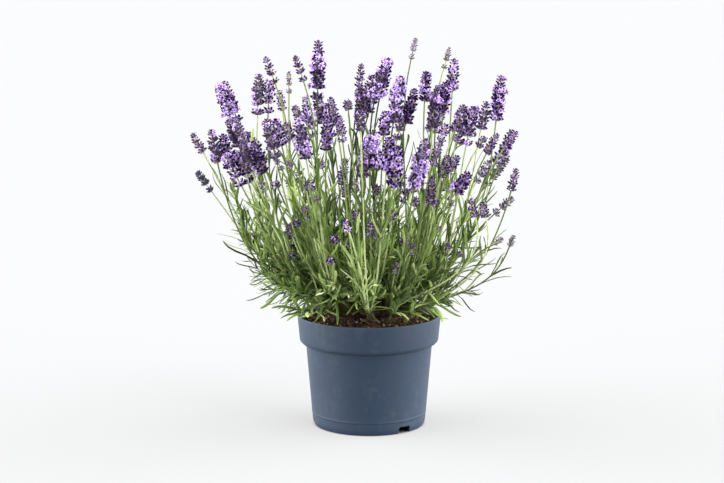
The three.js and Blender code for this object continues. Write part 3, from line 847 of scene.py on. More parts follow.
def build_sweep():
    """Sweeps an oval section along every line; each point says how wide and how tilted it is there."""
    inputs = {
        "Sides": "NodeSocketInt",
        "Flatness": "NodeSocketFloat",
        "Fold": "NodeSocketFloat",
        "Material": "NodeSocketMaterial",
    }
    grow = Growth("sweep along lines", inputs)
    lines = grow.node("GeometryNodeMeshToCurve", Mesh=grow.given["Geometry"])
    upright = grow.node("GeometryNodeSetCurveNormal", {"mode": "Z_UP"}, Curve=lines.outputs[0])
    tilted = grow.node("GeometryNodeSetCurveTilt", Curve=upright.outputs[0], Tilt=grow.read("tilt"))
    ring = grow.node("GeometryNodeCurvePrimitiveCircle", Resolution=grow.given["Sides"], Radius=1.0)
    where = grow.split(grow.node("GeometryNodeInputPosition").outputs[0])
    marked = grow.node(
        "GeometryNodeStoreNamedAttribute",
        {"data_type": "FLOAT", "domain": "POINT"},
        Geometry=ring.outputs[0],
        Name="across",
        Value=where[0],
    )
    flat = grow.calculate("MULTIPLY", where[1], grow.given["Flatness"])
    folded = grow.calculate("MULTIPLY_ADD", grow.calculate("ABSOLUTE", where[0]), grow.given["Fold"], flat)
    bent = grow.node("ShaderNodeCombineXYZ", X=where[0], Y=folded)
    section = grow.node("GeometryNodeSetPosition", Geometry=marked.outputs[0], Position=bent.outputs[0])
    swept = grow.node(
        "GeometryNodeCurveToMesh",
        Curve=tilted.outputs[0],
        Profile_Curve=section.outputs[0],
        Scale=grow.read("girth"),
        Fill_Caps=True,
    )
    grow.finish(swept.outputs[0])
    return grow


def build_setting():
    """Sets a small shape on every point, along the point's aim, at its size and turned at random."""
    inputs = {"Shape": "NodeSocketObject", "Seed": "NodeSocketInt", "Material": "NodeSocketMaterial"}
    grow = Growth("set on points", inputs)
    shape = grow.node("GeometryNodeObjectInfo", Object=grow.given["Shape"])
    points = grow.node("GeometryNodeMeshToPoints", Mesh=grow.given["Geometry"])
    aimed = grow.node(
        "FunctionNodeAlignRotationToVector", {"axis": "Z"}, Vector=grow.read("aim", "FLOAT_VECTOR")
    )
    turn = grow.node("FunctionNodeAxisAngleToRotation", Axis=(0, 0, 1), Angle=grow.chance(0, FULL_TURN))
    turned = grow.node(
        "FunctionNodeRotateRotation",
        {"rotation_space": "LOCAL"},
        Rotation=aimed.outputs[0],
        Rotate_By=turn.outputs[0],
    )
    placed = grow.node(
        "GeometryNodeInstanceOnPoints",
        Points=points.outputs[0],
        Instance=shape.outputs["Geometry"],
        Rotation=turned.outputs[0],
        Scale=grow.read("size"),
    )
    grow.finish(placed.outputs[0])
    return grow


def build_scatter():
    """Scatters a small shape over the faces, at a random size and turn, each with its own tint."""
    inputs = {
        "Shape": "NodeSocketObject",
        "Density": "NodeSocketFloat",
        "Smallest": "NodeSocketFloat",
        "Largest": "NodeSocketFloat",
        "Seed": "NodeSocketInt",
        "Material": "NodeSocketMaterial",
    }
    grow = Growth("scatter on faces", inputs)
    shape = grow.node("GeometryNodeObjectInfo", Object=grow.given["Shape"])
    points = grow.node(
        "GeometryNodeDistributePointsOnFaces",
        {"distribute_method": "RANDOM"},
        Mesh=grow.given["Geometry"],
        Density=grow.given["Density"],
        Seed=grow.given["Seed"],
    )
    placed = grow.node(
        "GeometryNodeInstanceOnPoints",
        Points=points.outputs[0],
        Instance=shape.outputs["Geometry"],
        Rotation=grow.chance((0, 0, 0), (FULL_TURN,) * 3, "FLOAT_VECTOR"),
        Scale=grow.chance(grow.given["Smallest"], grow.given["Largest"]),
    )
    tinted = grow.node(
        "GeometryNodeStoreNamedAttribute",
        {"data_type": "FLOAT", "domain": "INSTANCE"},
        Geometry=placed.outputs[0],
        Name="tint",
        Value=grow.chance(0, 1),
    )
    grow.finish(tinted.outputs[0])
    return grow


sweep = build_sweep()
setting = build_setting()
scatter = build_scatter()


# Finishes
class Finish(Nodes):
    """A material whose constants are set on its shader's own sockets."""

    def __init__(self, name, **constants):
        self.material = bpy.data.materials.new(name)
        self.material.use_nodes = True
        super().__init__(self.material.node_tree)
        self.shader = self.tree.nodes["Principled BSDF"].inputs
        for socket, value in constants.items():
            self.shader[socket.replace("_", " ")].default_value = value

    def read(self, name):
        found = self.node("ShaderNodeAttribute", {"attribute_name": name})
        return found.outputs["Fac"]

    def mottle(self, scale, contrast):
        """A value from 0 to 1 that wanders over the surface."""
        group = self.node("ShaderNodeGroup", {"node_tree": mottled}, Scale=scale, Contrast=contrast)
        return group.outputs["Value"]

    def away(self):
        """The distance from the object's upright axis."""
        place = self.node("ShaderNodeTexCoord").outputs["Object"]
        level = self.node("ShaderNodeVectorMath", {"operation": "MULTIPLY"}, {0: place, 1: (1, 1, 0)})
        length = self.node("ShaderNodeVectorMath", {"operation": "LENGTH"}, {0: level.outputs[0]})
        return length.outputs["Value"]

    def mix(self, share, first, second):
        sockets = {0: share, 6: first, 7: second}
        return self.node("ShaderNodeMix", {"data_type": "RGBA"}, sockets).outputs[2]

    def ramp(self, value, *stops):
        made = self.node("ShaderNodeValToRGB", Fac=value)
        ramp = made.color_ramp
        while len(ramp.elements) < len(stops):
            ramp.elements.new(0.5)
        for element, (place, color) in zip(ramp.elements, stops):
            element.position = place
            element.color = linear(*color)
        return made.outputs[0]

    def paint(self, color):
        self.join(color, self.shader["Base Color"])

    def bump(self, height, strength, distance):
        made = self.node("ShaderNodeBump", Height=height, Strength=strength, Distance=distance * MM)
        self.join(made.outputs[0], self.shader["Normal"])


def build_mottled():
    """Two sizes of wandering noise over the object's own coordinates, as one value."""
    group = bpy.data.node_groups.new("mottled", "ShaderNodeTree")
    group.interface.new_socket("Scale", in_out="INPUT", socket_type="NodeSocketFloat")
    group.interface.new_socket("Contrast", in_out="INPUT", socket_type="NodeSocketFloat")
    group.interface.new_socket("Value", in_out="OUTPUT", socket_type="NodeSocketFloat")
    make = Nodes(group)
    given = group.nodes.new("NodeGroupInput").outputs
    result = group.nodes.new("NodeGroupOutput").inputs[0]
    place = make.node("ShaderNodeTexCoord").outputs["Object"]
    broad = make.node("ShaderNodeTexNoise", Vector=place, Scale=given["Scale"], Detail=3.0)
    finer = make.calculate("MULTIPLY", given["Scale"], 4.3)
    fine = make.node("ShaderNodeTexNoise", Vector=place, Scale=finer, Detail=2.0)
    both = make.calculate("ADD", broad.outputs[0], fine.outputs[0])
    spread = make.calculate("MULTIPLY_ADD", make.calculate("SUBTRACT", both, 1.0), given["Contrast"], 0.5)
    make.join(make.node("ShaderNodeClamp", Value=spread).outputs[0], result)
    return group


mottled = build_mottled()


def pot_plastic():
    """Slate-blue moulded plastic, satin, with a fine grain and faint smears."""
    finish = Finish("pot plastic", Specular_IOR_Level=0.47)
    body = finish.mix(finish.mottle(14.0, 1.2), linear(7, 30, 50), linear(11, 36, 57))
    smears = finish.span(finish.mottle(38.0, 1.6), 0.6, 1.0, 0.0, 0.06)
    finish.paint(finish.mix(smears, body, linear(112, 118, 122)))
    finish.join(finish.span(finish.mottle(55.0, 1.0), 0, 1, 0.5, 0.62), finish.shader["Roughness"])
    finish.bump(finish.mottle(700.0, 1.0), 0.25, 0.08)
    return finish.material


def peat():
    """Dark moist peat; the tint of each crumb runs from black to bark brown, with a few pale bits."""
    finish = Finish("peat", Roughness=0.95, Specular_IOR_Level=0.2)
    crumb = finish.ramp(
        finish.read("tint"),
        (0.0, (34, 26, 18)),
        (0.45, (64, 48, 34)),
        (0.8, (102, 70, 48)),
        (0.955, (140, 100, 70)),
        (0.975, (206, 188, 160)),
    )
    damp = finish.mix(finish.mottle(260.0, 1.6), linear(30, 27, 18), linear(70, 58, 40))
    finish.paint(finish.mix(0.55, damp, crumb))
    finish.bump(finish.mottle(900.0, 1.4), 0.8, 0.5)
    return finish.material


def bark():
    """Grey-brown bark of the old wood, in rough strips."""
    finish = Finish("bark", Roughness=0.9, Specular_IOR_Level=0.2)
    finish.paint(finish.mix(finish.mottle(420.0, 2.0), linear(64, 48, 36), linear(126, 108, 86)))
    finish.bump(finish.mottle(800.0, 1.6), 0.9, 0.5)
    return finish.material


def stem_skin():
    """Grey-green downy stems with painted shade inside the bush, woody at their feet, each with its own
    tint.
    """
    finish = Finish("stem skin", Roughness=0.75, Specular_IOR_Level=0.08)
    green = finish.ramp(
        finish.read("tint"),
        (0.0, (60, 78, 30)),
        (0.5, (122, 140, 76)),
        (1.0, (196, 204, 154)),
    )
    worn = finish.mix(finish.span(finish.mottle(160.0, 1.6), 0, 1, 0.0, 0.4), green, linear(82, 98, 44))
    # Painted shade: darker near the plant's upright axis, deep inside the bush
    shaded = finish.mix(finish.span(finish.away(), 0.02, 0.06, 0.9, 0.0), worn, linear(14, 25, 8))
    wood = finish.span(finish.read("risen"), 4.0, 18.0, 0.8, 0.0)
    finish.paint(finish.mix(wood, shaded, linear(104, 92, 58)))
    finish.bump(finish.mottle(1500.0, 1.0), 0.3, 0.1)
    return finish.material


def leaf_skin():
    """Narrow grey-green leaves: paler below, at the rolled margins and along the midrib."""
    finish = Finish("leaf skin", Roughness=0.7, Specular_IOR_Level=0.1)
    # The tint holds each leaf's own tone times the painted shade and light from leaf_shade
    green = finish.ramp(
        finish.read("tint"),
        (0.0, (6, 12, 2)),
        (0.15, (26, 44, 14)),
        (0.4, (108, 133, 62)),
        (0.65, (156, 175, 100)),
        (1.0, (190, 202, 146)),
    )
    from_rib = finish.calculate("ABSOLUTE", finish.read("across"))
    rolled = finish.span(from_rib, 0.62, 1.0, 0.0, 0.5)
    veined = finish.span(from_rib, 0.0, 0.16, 0.35, 0.0)
    edged = finish.mix(finish.calculate("MAXIMUM", rolled, veined), green, linear(152, 174, 98))
    facing = finish.split(finish.node("ShaderNodeNewGeometry").outputs["Normal"])
    below = finish.span(facing[2], -0.5, 0.1, 0.35, 0.0)
    finish.paint(finish.mix(below, edged, linear(120, 140, 88)))
    finish.bump(finish.mottle(1100.0, 1.2), 0.35, 0.12)
    return finish.material


def calyx_skin():
    """Downy lilac calyces, olive where they sit on the stalk and dark violet at the bud."""
    finish = Finish("calyx skin", Roughness=0.85, Specular_IOR_Level=0.06)
    tint, along = finish.read("tint"), finish.read("along")
    lilac = finish.ramp(
        tint,
        (0.0, (66, 38, 92)),
        (0.3, (126, 96, 160)),
        (0.6, (178, 150, 206)),
        (0.85, (210, 194, 224)),
        (1.0, (232, 228, 214)),
    )
    footed = finish.mix(finish.span(along, 0.12, 0.34, 0.85, 0.0), lilac, linear(168, 170, 104))
    budded = finish.calculate("MULTIPLY_ADD", tint, -0.22, along)
    tipped = finish.mix(finish.span(budded, 0.52, 0.6), footed, linear(30, 5, 48))
    young = finish.mix(finish.span(finish.read("age"), 0, 1, 0.0, 0.8), tipped, linear(138, 136, 112))
    finish.paint(finish.mix(finish.read("dusk"), young, linear(56, 62, 92)))
    finish.bump(finish.mottle(1600.0, 1.4), 0.4, 0.12)
    return finish.material


def corolla_skin():
    """Thin lilac petals, paler towards their edges and dark in the throat."""
    finish = Finish("corolla skin", Roughness=0.7, Specular_IOR_Level=0.12)
    petal = finish.ramp(
        finish.read("along"),
        (0.0, (150, 98, 170)),
        (0.35, (180, 146, 216)),
        (0.8, (202, 178, 230)),
        (1.0, (222, 206, 240)),
    )
    deeper = finish.span(finish.read("tint"), 0, 1, 0.5, 0.0)
    finish.paint(finish.mix(deeper, petal, linear(166, 122, 216)))
    finish.bump(finish.mottle(1300.0, 1.2), 0.3, 0.1)
    return finish.material


def bract_skin():
    """Small papery bracts under the whorls, olive turning brown."""
    finish = Finish("bract skin", Roughness=0.8, Specular_IOR_Level=0.2)
    olive = finish.ramp(
        finish.read("tint"),
        (0.0, (110, 88, 58)),
        (0.6, (156, 150, 84)),
        (1.0, (204, 196, 124)),
    )
    worn = finish.span(finish.mottle(700.0, 1.5), 0, 1, 0.0, 0.5)
    finish.paint(finish.mix(worn, olive, linear(96, 74, 78)))
    return finish.material


# Pot
def with_arcs(corners, steps=5):
    """The outline with each corner cut back by its own reach and bridged by a smooth arc."""
    path = []
    for k, (radius, height, reach) in enumerate(corners):
        here = point(radius, height)
        if reach == 0:
            path.append(here)
            continue
        before, after = point(*corners[k - 1][:2]), point(*corners[k + 1][:2])
        ends = here + unit(before - here) * reach, here + unit(after - here) * reach
        for step in range(steps + 1):
            t = step / steps
            path.append((1 - t) ** 2 * ends[0] + 2 * t * (1 - t) * here + t * t * ends[1])
    return path


def turned(name, outline, sides, lift=None):
    """Turns an outline round the axis; lift moves each vertex up by what it gives for its place."""
    verts, rings, faces = [], [], []
    for radius, height in outline:
        count = sides if radius > 0 else 1
        rings.append(range(len(verts), len(verts) + count))
        for k in range(count):
            angle = FULL_TURN * k / sides
            x, y = radius * math.cos(angle), radius * math.sin(angle)
            verts.append((x, y, height + (lift(x, y, height) if lift else 0)))
    for low, high in zip(rings, rings[1:]):
        for k in range(sides):
            after = (k + 1) % sides
            corners = (
                low[k % len(low)],
                low[after % len(low)],
                high[after % len(high)],
                high[k % len(high)],
            )
            # On the axis two of the corners are one vertex
            faces.append(list(dict.fromkeys(corners)))
    return mesh_from(name, verts, faces)


def prism(outline, low, high, place):
    """The vertices and faces of a prism; place turns (wide, long, deep) into a point."""
    count = len(outline)
    verts = [place(wide, long, deep) for deep in (low, high) for wide, long in outline]
    faces = [[k, (k + 1) % count, count + (k + 1) % count, count + k] for k in range(count)]
    faces += [list(range(count))[::-1], list(range(count, 2 * count))]
    return verts, faces


def wall_radius(height):
    share = (height - FOOT_ROUND) / (SHOULDER_BOTTOM - FOOT_ROUND)
    return FOOT_RADIUS + (WAIST_RADIUS - FOOT_RADIUS) * share


def band_radius(height):
    share = (height - BAND_BOTTOM) / (POT_HEIGHT - BAND_BOTTOM)
    return BAND_RADIUS + (POT_RADIUS - BAND_RADIUS) * share


def pot_cutters():
    """The notches in the foot, rounded at their top corners, and the drain holes in the floor."""
    half, top, foot = NOTCH_WIDTH / 2, FLOOR_BOTTOM, -2 * CUT_PAST
    cut, bend = NOTCH_ROUND
    arch = [(-half, foot), (half, foot), (half, top - cut), (half - bend, top - bend), (half - cut, top)]
    arch += [(-half + cut, top), (-half + bend, top - bend), (-half, top - cut)]
    turns = [FULL_TURN * k / DRAIN_SIDES for k in range(DRAIN_SIDES)]
    ring = [(DRAIN_RADIUS * math.cos(turn), DRAIN_RADIUS * math.sin(turn)) for turn in turns]
    verts, faces = [], []

    def add(shape):
        start = len(verts)
        verts.extend(shape[0])
        faces.extend([start + k for k in face] for face in shape[1])

    def in_foot(angle):
        """Lies outwards through the foot."""
        x, y = math.cos(angle), math.sin(angle)
        return lambda wide, long, deep: (deep * x - wide * y, deep * y + wide * x, long)

    def in_floor(angle):
        """Stands in the floor, on the circle of the drain holes."""
        x, y = DRAIN_CIRCLE * math.cos(angle), DRAIN_CIRCLE * math.sin(angle)
        return lambda wide, long, deep: (x + wide, y + long, deep)

    inner, outer = FOOT_RADIUS - NOTCH_REACH * FOOT_WIDTH, FOOT_RADIUS + FOOT_WIDTH
    for k in range(NOTCHES):
        add(prism(arch, inner, outer, in_foot(math.radians(NOTCH_ANGLE + 360 * k / NOTCHES))))
    low, high = FLOOR_BOTTOM - CUT_PAST, FLOOR_TOP + CUT_PAST
    for k in range(DRAIN_HOLES):
        add(prism(ring, low, high, in_floor((k + 0.5) * FULL_TURN / DRAIN_HOLES)))
    return mesh_from("pot cutters", verts, faces)


def make_pot():
    """The shell as one turned outline, with its notches and drain holes cut out."""
    foot_inside = FOOT_RADIUS - FOOT_WIDTH
    outline = with_arcs(
        [
            (0, 0, 0),
            (FOOT_PAD_RADIUS, 0, 0.5),
            (FOOT_PAD_RADIUS + 1, FLOOR_BOTTOM, 0.8),
            (foot_inside - 1.2, FLOOR_BOTTOM, 1.0),
            (foot_inside, 0, 0.5),
            (FOOT_RADIUS - 1.3, 0, 0.5),
            (wall_radius(3.6), 3.6, 1.8),
            (wall_radius(FOOT_LINE - 0.8) - 0.1, FOOT_LINE - 0.8, 0.2),
            (wall_radius(FOOT_LINE) + 0.25, FOOT_LINE, 0.2),
            (wall_radius(FOOT_LINE + 1.6), FOOT_LINE + 1.6, 0.5),
            (WAIST_RADIUS, SHOULDER_BOTTOM, 0.7),
            (BAND_RADIUS - 1.7, BAND_BOTTOM - 2.2, 1.0),
            (BAND_RADIUS, BAND_BOTTOM, 0.9),
            (POT_RADIUS, POT_HEIGHT, 0.7),
            (POT_RADIUS - WALL, POT_HEIGHT, 0.7),
            (BAND_RADIUS - WALL, BAND_BOTTOM + SHOULDER_WALL, 1.6),
            (WAIST_RADIUS - WALL, SHOULDER_BOTTOM + SHOULDER_WALL, 1.0),
            (wall_radius(FLOOR_TOP) - WALL, FLOOR_TOP, 1.6),
            (0, FLOOR_TOP, 0),
        ]
    )
    shell = new_object("pot blank", turned("pot blank", outline, POT_SEGMENTS))
    cutters = new_object("pot cutters", pot_cutters())
    cut = shell.modifiers.new("cuts", "BOOLEAN")
    cut.operation = "DIFFERENCE"
    cut.solver = "EXACT"
    cut.object = cutters
    shell.data.materials.append(pot_plastic())
    pot = frozen(shell, "pot_shell", cutters)
    pot.data.shade_smooth()
    pot.data.set_sharp_from_angle(angle=math.radians(POT_CREASE))
    keep(pot, "pot", "pot")


# Soil
def soil_height(x, y):
    return SOIL_TOP + SOIL_LUMP * (
        0.6 * math.sin(x * 0.21 + 1.3) * math.cos(y * 0.19 + 0.4)
        + 0.4 * math.sin(x * 0.53 - y * 0.37) * math.cos(y * 0.61 + x * 0.13)
    )


def soil_lift(x, y, height):
    """How far the top of the soil stands off its level, in lumps and crumbs."""
    if height < SOIL_TOP - 0.01:
        return 0
    place = Vector((x, y, 0))
    lumps = 1.3 * noise.noise(place * 0.3) + 0.8 * noise.noise(place * 0.9)
    return soil_height(x, y) - SOIL_TOP + SOIL_ROUGHNESS * lumps


def crumb(name, long, seed):
    """An irregular bit, about one millimetre from its middle to its edge."""
    draw = seeded(seed)
    mesh = bpy.data.meshes.new(name)
    ball = bmesh.new()
    bmesh.ops.create_icosphere(ball, subdivisions=1, radius=MM)
    for vert in ball.verts:
        vert.co *= draw(0.65, 1.25)
        vert.co.x *= long
    ball.to_mesh(mesh)
    ball.free()
    return new_object(name, mesh)


def make_soil():
    """The bed with the hole for the woody base, and the bits that lie on it."""
    hole = STUMP_RADIUS + 2 * GAP
    edge = band_radius(SOIL_TOP - SOIL_EDGE) - WALL - 2 * GAP
    top = [(radius, SOIL_TOP) for radius in np.linspace(edge - 1.2, hole, SOIL_RINGS)]
    outline = [
        (0, FLOOR_TOP + GAP),
        (wall_radius(FLOOR_TOP) - WALL - 2 * GAP, FLOOR_TOP + GAP),
        (WAIST_RADIUS - WALL - 2 * GAP, SHOULDER_BOTTOM + SHOULDER_WALL + 0.4),
        (BAND_RADIUS - WALL - 2 * GAP, BAND_BOTTOM + SHOULDER_WALL + 0.4),
        (edge, SOIL_TOP - SOIL_EDGE),
        *top,
        (hole, STUMP_BOTTOM - GAP),
        (0, STUMP_BOTTOM - GAP),
    ]
    finish = peat()
    bed = new_object("soil_bed", turned("soil_bed", outline, SOIL_SEGMENTS, soil_lift))
    put_values(bed.data, "tint", np.full(len(bed.data.vertices), 0.35))
    bed.data.materials.append(finish)
    keep(bed, "soil", "soil")
    for name, (long, density, smallest, largest, seed) in SOIL_BITS.items():
        face = new_object(name + " ground", turned(name + " ground", top, SOIL_SEGMENTS, soil_lift))
        shape = crumb(name + " shape", long, seed)
        values = {"Density": density, "Smallest": smallest, "Largest": largest, "Seed": seed}
        piece = scatter.use(face, name, shape, Shape=shape, Material=finish, **values)
        keep(piece, "soil", "soil")


# Woody base
class Lines:
    """Lines to sweep, each point with its girth, tint and place along its line."""

    def __init__(self):
        self.points, self.edges = [], []
        self.values = {"girth": [], "tilt": [], "tint": [], "risen": []}

    def add(self, points, girths, tint, tilt=0.0):
        start = len(self.points)
        risen = 0.0
        for k, (place, girth) in enumerate(zip(points, girths)):
            risen += math.dist(place, points[k - 1]) if k else 0
            self.points.append(place)
            self.values["girth"].append(girth * MM)
            self.values["tilt"].append(tilt)
            self.values["tint"].append(tint)
            self.values["risen"].append(risen)
        self.edges += [(start + k, start + k + 1) for k in range(len(points) - 1)]

    def swept(self, name, material, sides, flatness=1.0, fold=0.0):
        mesh = mesh_from(name + " lines", self.points, [], self.edges)
        for label, values in self.values.items():
            put_values(mesh, label, values)
        thing = new_object(name + " lines", mesh)
        piece = sweep.use(thing, name, Sides=sides, Flatness=flatness, Fold=fold, Material=material)
        piece.data.shade_smooth()
        return piece


def make_woody_base(draw):
    """The stump in the soil and the short branches over it."""
    finish = bark()
    crown = [
        (0, STUMP_BOTTOM),
        (4.7, STUMP_BOTTOM),
        (7.6, 76),
        (8.3, 88),
        (8.0, 96),
        (6.9, 99.5),
        (4.0, STUMP_TOP - 0.6),
        (0, STUMP_TOP),
    ]
    rough = turned("old_stump", crown, STUMP_SIDES)
    for vert in rough.vertices:
        push = 1 + 0.05 * noise.noise(vert.co * 300) + 0.03 * noise.noise(vert.co * 900)
        vert.co.x *= push
        vert.co.y *= push
    stump = new_object("old_stump", rough)
    stump.data.materials.append(finish)
    keep(stump, "greens", "plant")
    wood = Lines()
    for branch in range(BRANCHES):
        points = [branch_point(branch, k / WOOD_STEPS) for k in range(WOOD_STEPS + 1)]
        bent = [p + point(draw(-0.5, 0.5), draw(-0.5, 0.5), draw(-0.4, 0.4)) for p in points]
        girths = [BRANCH_RADIUS * (1.15 - 0.045 * k + draw(-0.08, 0.08)) for k in range(len(bent))]
        wood.add(bent, girths, 0.5)
    keep(wood.swept("old_wood", finish, WOOD_SIDES), "greens", "plant")


# Stems
def make_stems(draw):
    """The stems of the spikes, up through their heads, and those of the leafy shoots."""
    stems = Lines()
    for spike in planned_spikes + buds:
        curve = spike["curve"]
        sway = [point(draw(-1, 1), draw(-1, 1), 0) for _ in range(2)]
        points, girths = [], []
        for k in range(STEM_POINTS):
            t = k / STEM_POINTS
            swing = STEM_SWAY * math.sin(math.pi * t) * (sway[0] + sway[1] * math.sin(3 * math.pi * t))
            points.append(bezier(curve, t) + swing)
            girths.append(STEM_RADIUS * STEM_GIRTH * (1.06 - 0.2 * t))
        head = math.dist(spike["start"], spike["tip"])
        for k in range(HEAD_STEPS + 1):
            points.append(spike["start"] + spike["axis"] * (head * 0.97 * k / HEAD_STEPS))
            girths.append(STEM_RADIUS * STEM_GIRTH * (0.84 - 0.1 * k))
        stems.add(points, girths, draw(0.1, 1))
    for shoot in shoots + fillers:
        points = line_of(shoot["curve"], SHOOT_STEPS)
        stems.add(points, [STEM_RADIUS * (0.95 - 0.05 * k) for k in range(len(points))], draw(0.0, 0.7))
    keep(stems.swept("stems", stem_skin(), STEM_SIDES), "greens", "plant")


# Leaves
def leaf_points(root, tip, along, bow, hook):
    """A leaf that leaves the stem along it, bows outwards and hooks towards its tip."""
    reach = math.dist(root, tip)
    bend = unit(unit(tip - root) + hook)
    curve = np.array([root, root + along * (reach * bow), tip - bend * (reach * 0.36), tip])
    return [bezier(curve, share) for share, _ in LEAF_SECTIONS]


def leaf_shade(tip):
    """The share of the brightest green, with painted shade and light: less deep in the bush, and low down
    darker at the plant's two sides and brighter between them.
    """
    depth = min(1.0, math.hypot(tip[0], tip[1]) / LIT_REACH)
    beside = held((abs(tip[0]) - SIDE_LEAF_REACH) / LEAF_FADE)
    below = held((LOW_LEAF_HEIGHT - tip[2]) / LEAF_FADE)
    by_depth = DEEP_SHADE + (LIT_SHADE - DEEP_SHADE) * depth
    # Painted shade low down at the plant's two sides, painted light low down between them
    by_side = MIDDLE_LEAF_PAINTED_LIGHT + (SIDE_LEAF_PAINTED_SHADE - MIDDLE_LEAF_PAINTED_LIGHT) * beside
    return by_depth * (1 + (by_side - 1) * below)


def add_leaf(leaves, root, tip, along, half_width, draw, brightest=1.0):
    """Adds a leaf with a bow, a hook and a tint of its own, scaled by the painted shade and light of where
    it grows.
    """
    hook = point(draw(-0.5, 0.5), draw(-0.5, 0.5), draw(-0.9, 0.7))
    points = leaf_points(root, tip, along, draw(0.22, 0.5), hook)
    tint = brightest * draw(0, 1) * leaf_shade(points[3])
    leaves.add(points, [half_width * share for _, share in LEAF_SECTIONS], tint, draw(-0.6, 0.6))


def filler_shoots(draw):
    """Leafy side shoots that fill the bush between the planned ones."""
    made = []

    def add(end, axis):
        made.append({"curve": stem_from_branch(end, axis), "end": end})

    lowest, highest, drop = FILLER_HEIGHT
    for index in range(FILLERS):
        share = math.sqrt((index + 0.5) / FILLERS)
        angle = index * GOLDEN_ANGLE + draw(-0.3, 0.3)
        reach = FILLER_REACH * share * draw(0.75, 1.0)
        height = draw(lowest, highest - drop * share * share)
        end = point_round(reach, angle, height) + point(BUSH_SHIFT, 0, 0)
        add(end, leaning(math.radians(FILLER_LEAN * share), angle))
    for place in SIDE_SHOOTS:
        end = point(*place)
        add(end, unit(end * point(*SIDE_SHOOT_LEAN)))
    return made


def leaf_is_clear(root, tip, spike_starts, spike_tips, spike_radii):
    """Whether a leaf stays out of the pot's wall, the soil and the flower spikes."""
    points = np.array([root + (tip - root) * share for share in (0.35, 0.7, 1.0)])
    reach = np.hypot(points[:, 0], points[:, 1])
    floor = np.where(reach < SOIL_REACH, SOIL_TOP + SOIL_ROOM, POT_HEIGHT + RIM_ROOM)
    if ((reach < POT_RADIUS + RIM_SIDE_ROOM) & (points[:, 2] < floor)).any():
        return False
    return (to_segments(points, spike_starts, spike_tips) > spike_radii).all()


def make_shoot_leaves(draw):
    """The leaves that the solids have too, and a tuft at the tip of each shoot."""
    planned = Lines()
    for shoot in shoots:
        for root, tip, along in shoot["leaves"]:
            lifted = point(tip[0], tip[1], max(tip[2], LEAF_FLOOR))
            add_leaf(planned, root, lifted, along, draw(*SHOOT_LEAF_HALF), draw)
        for k in range(TOP_LEAVES):
            turn = FULL_TURN * k / TOP_LEAVES + draw(-0.3, 0.3)
            out = unit(shoot["axis"] + 0.45 * across(shoot["axis"], turn))
            foot = bezier(shoot["curve"], 1.0)
            tip = foot + out * draw(*TOP_LEAF_LENGTH)
            add_leaf(planned, foot, tip, shoot["axis"], draw(*TOP_LEAF_HALF), draw)
    keep(planned.swept("shoot_leaves", leaf_material, *LEAF_SECTION), "greens", "plant")


def make_filler_leaves(draw, cores):
    """Leaves in crossed pairs along the side shoots, each with a smaller one in its axil."""
    filled = Lines()
    for shoot in fillers:
        curve = shoot["curve"]
        span = math.dist(curve[0], shoot["end"])
        pairs = max(4, int(span * 0.66 / FILLER_LEAF_STEP))
        turn = draw(0, math.pi)
        for k in range(pairs):
            share = FILLER_BARE + (1 - FILLER_BARE) * k / (pairs - 1)
            foot = bezier(curve, share)
            along = unit(bezier(curve, share + 0.01) - bezier(curve, share - 0.01))
            spread = math.radians(50 - 34 * k / pairs + draw(-9, 9))
            for side in (turn, turn + math.pi):
                away = across(along, side + draw(-0.25, 0.25))
                sag = point(0, 0, draw(-0.2, 0.1))
                out = unit(along * math.cos(spread) + away * math.sin(spread) + sag)
                tip = foot + out * draw(*FILLER_LEAF_LENGTH) * (1 - 0.45 * k / pairs)
                if leaf_is_clear(foot, tip, *cores):
                    add_leaf(filled, foot, tip, along, draw(*FILLER_LEAF_HALF), draw)
                out = unit(along * 1.2 + across(along, side + 0.5))
                tip = foot + out * draw(*SMALL_LEAF_LENGTH)
                add_leaf(filled, foot, tip, along, draw(*SMALL_LEAF_HALF), draw)
            turn += math.pi / 2
    keep(filled.swept("filler_leaves", leaf_material, *LEAF_SECTION), "greens", "plant")


def make_stem_leaves(draw, cores):
    """Narrow leaves in pairs, close along the lower half of the flower stems."""
    narrow = Lines()
    for spike in planned_spikes + buds:
        for _ in range(STEM_LEAF_PAIRS):
            share = draw(*STEM_LEAF_REACH)
            foot = bezier(spike["curve"], share)
            along = unit(bezier(spike["curve"], share + 0.02) - foot)
            turn = draw(0, FULL_TURN)
            for side in (turn, turn + math.pi):
                out = unit(along + draw(0.15, 0.6) * across(along, side))
                tip = foot + out * draw(*STEM_LEAF_LENGTH)
                if draw(0, 1) < 0.75 and leaf_is_clear(foot, tip, *cores):
                    half_width = draw(*STEM_LEAF_HALF)
                    brightest = STEM_LEAF_SHADES[0 if draw(0, 1) < 0.6 else 1]
                    add_leaf(narrow, foot, tip, along, half_width, draw, brightest)
    keep(narrow.swept("stem_leaves", leaf_material, *STEM_LEAF_SECTION), "greens", "plant")


# Flower spikes
class Spots:
    """Places where one small shape is set, each with its aim, size, tint, age and dusk."""

    def __init__(self):
        self.places, self.aims = [], []
        self.values = {"size": [], "tint": [], "age": [], "dusk": []}

    def add(self, place, aim, size, tint, age, dusk=0.0):
        self.places.append(place)
        self.aims.append(aim)
        for values, value in zip(self.values.values(), (size * MM, tint, age, dusk)):
            values.append(value)

    def set_with(self, name, shape, material, seed):
        mesh = mesh_from(name + " spots", self.places, [])
        put_values(mesh, "aim", self.aims, "FLOAT_VECTOR", "vector")
        for label, values in self.values.items():
            put_values(mesh, label, values)
        spots = new_object(name + " spots", mesh)
        piece = setting.use(spots, name, Shape=shape, Seed=seed, Material=material)
        piece.data.shade_smooth()
        keep(piece, "flowers", *flower_nodes)


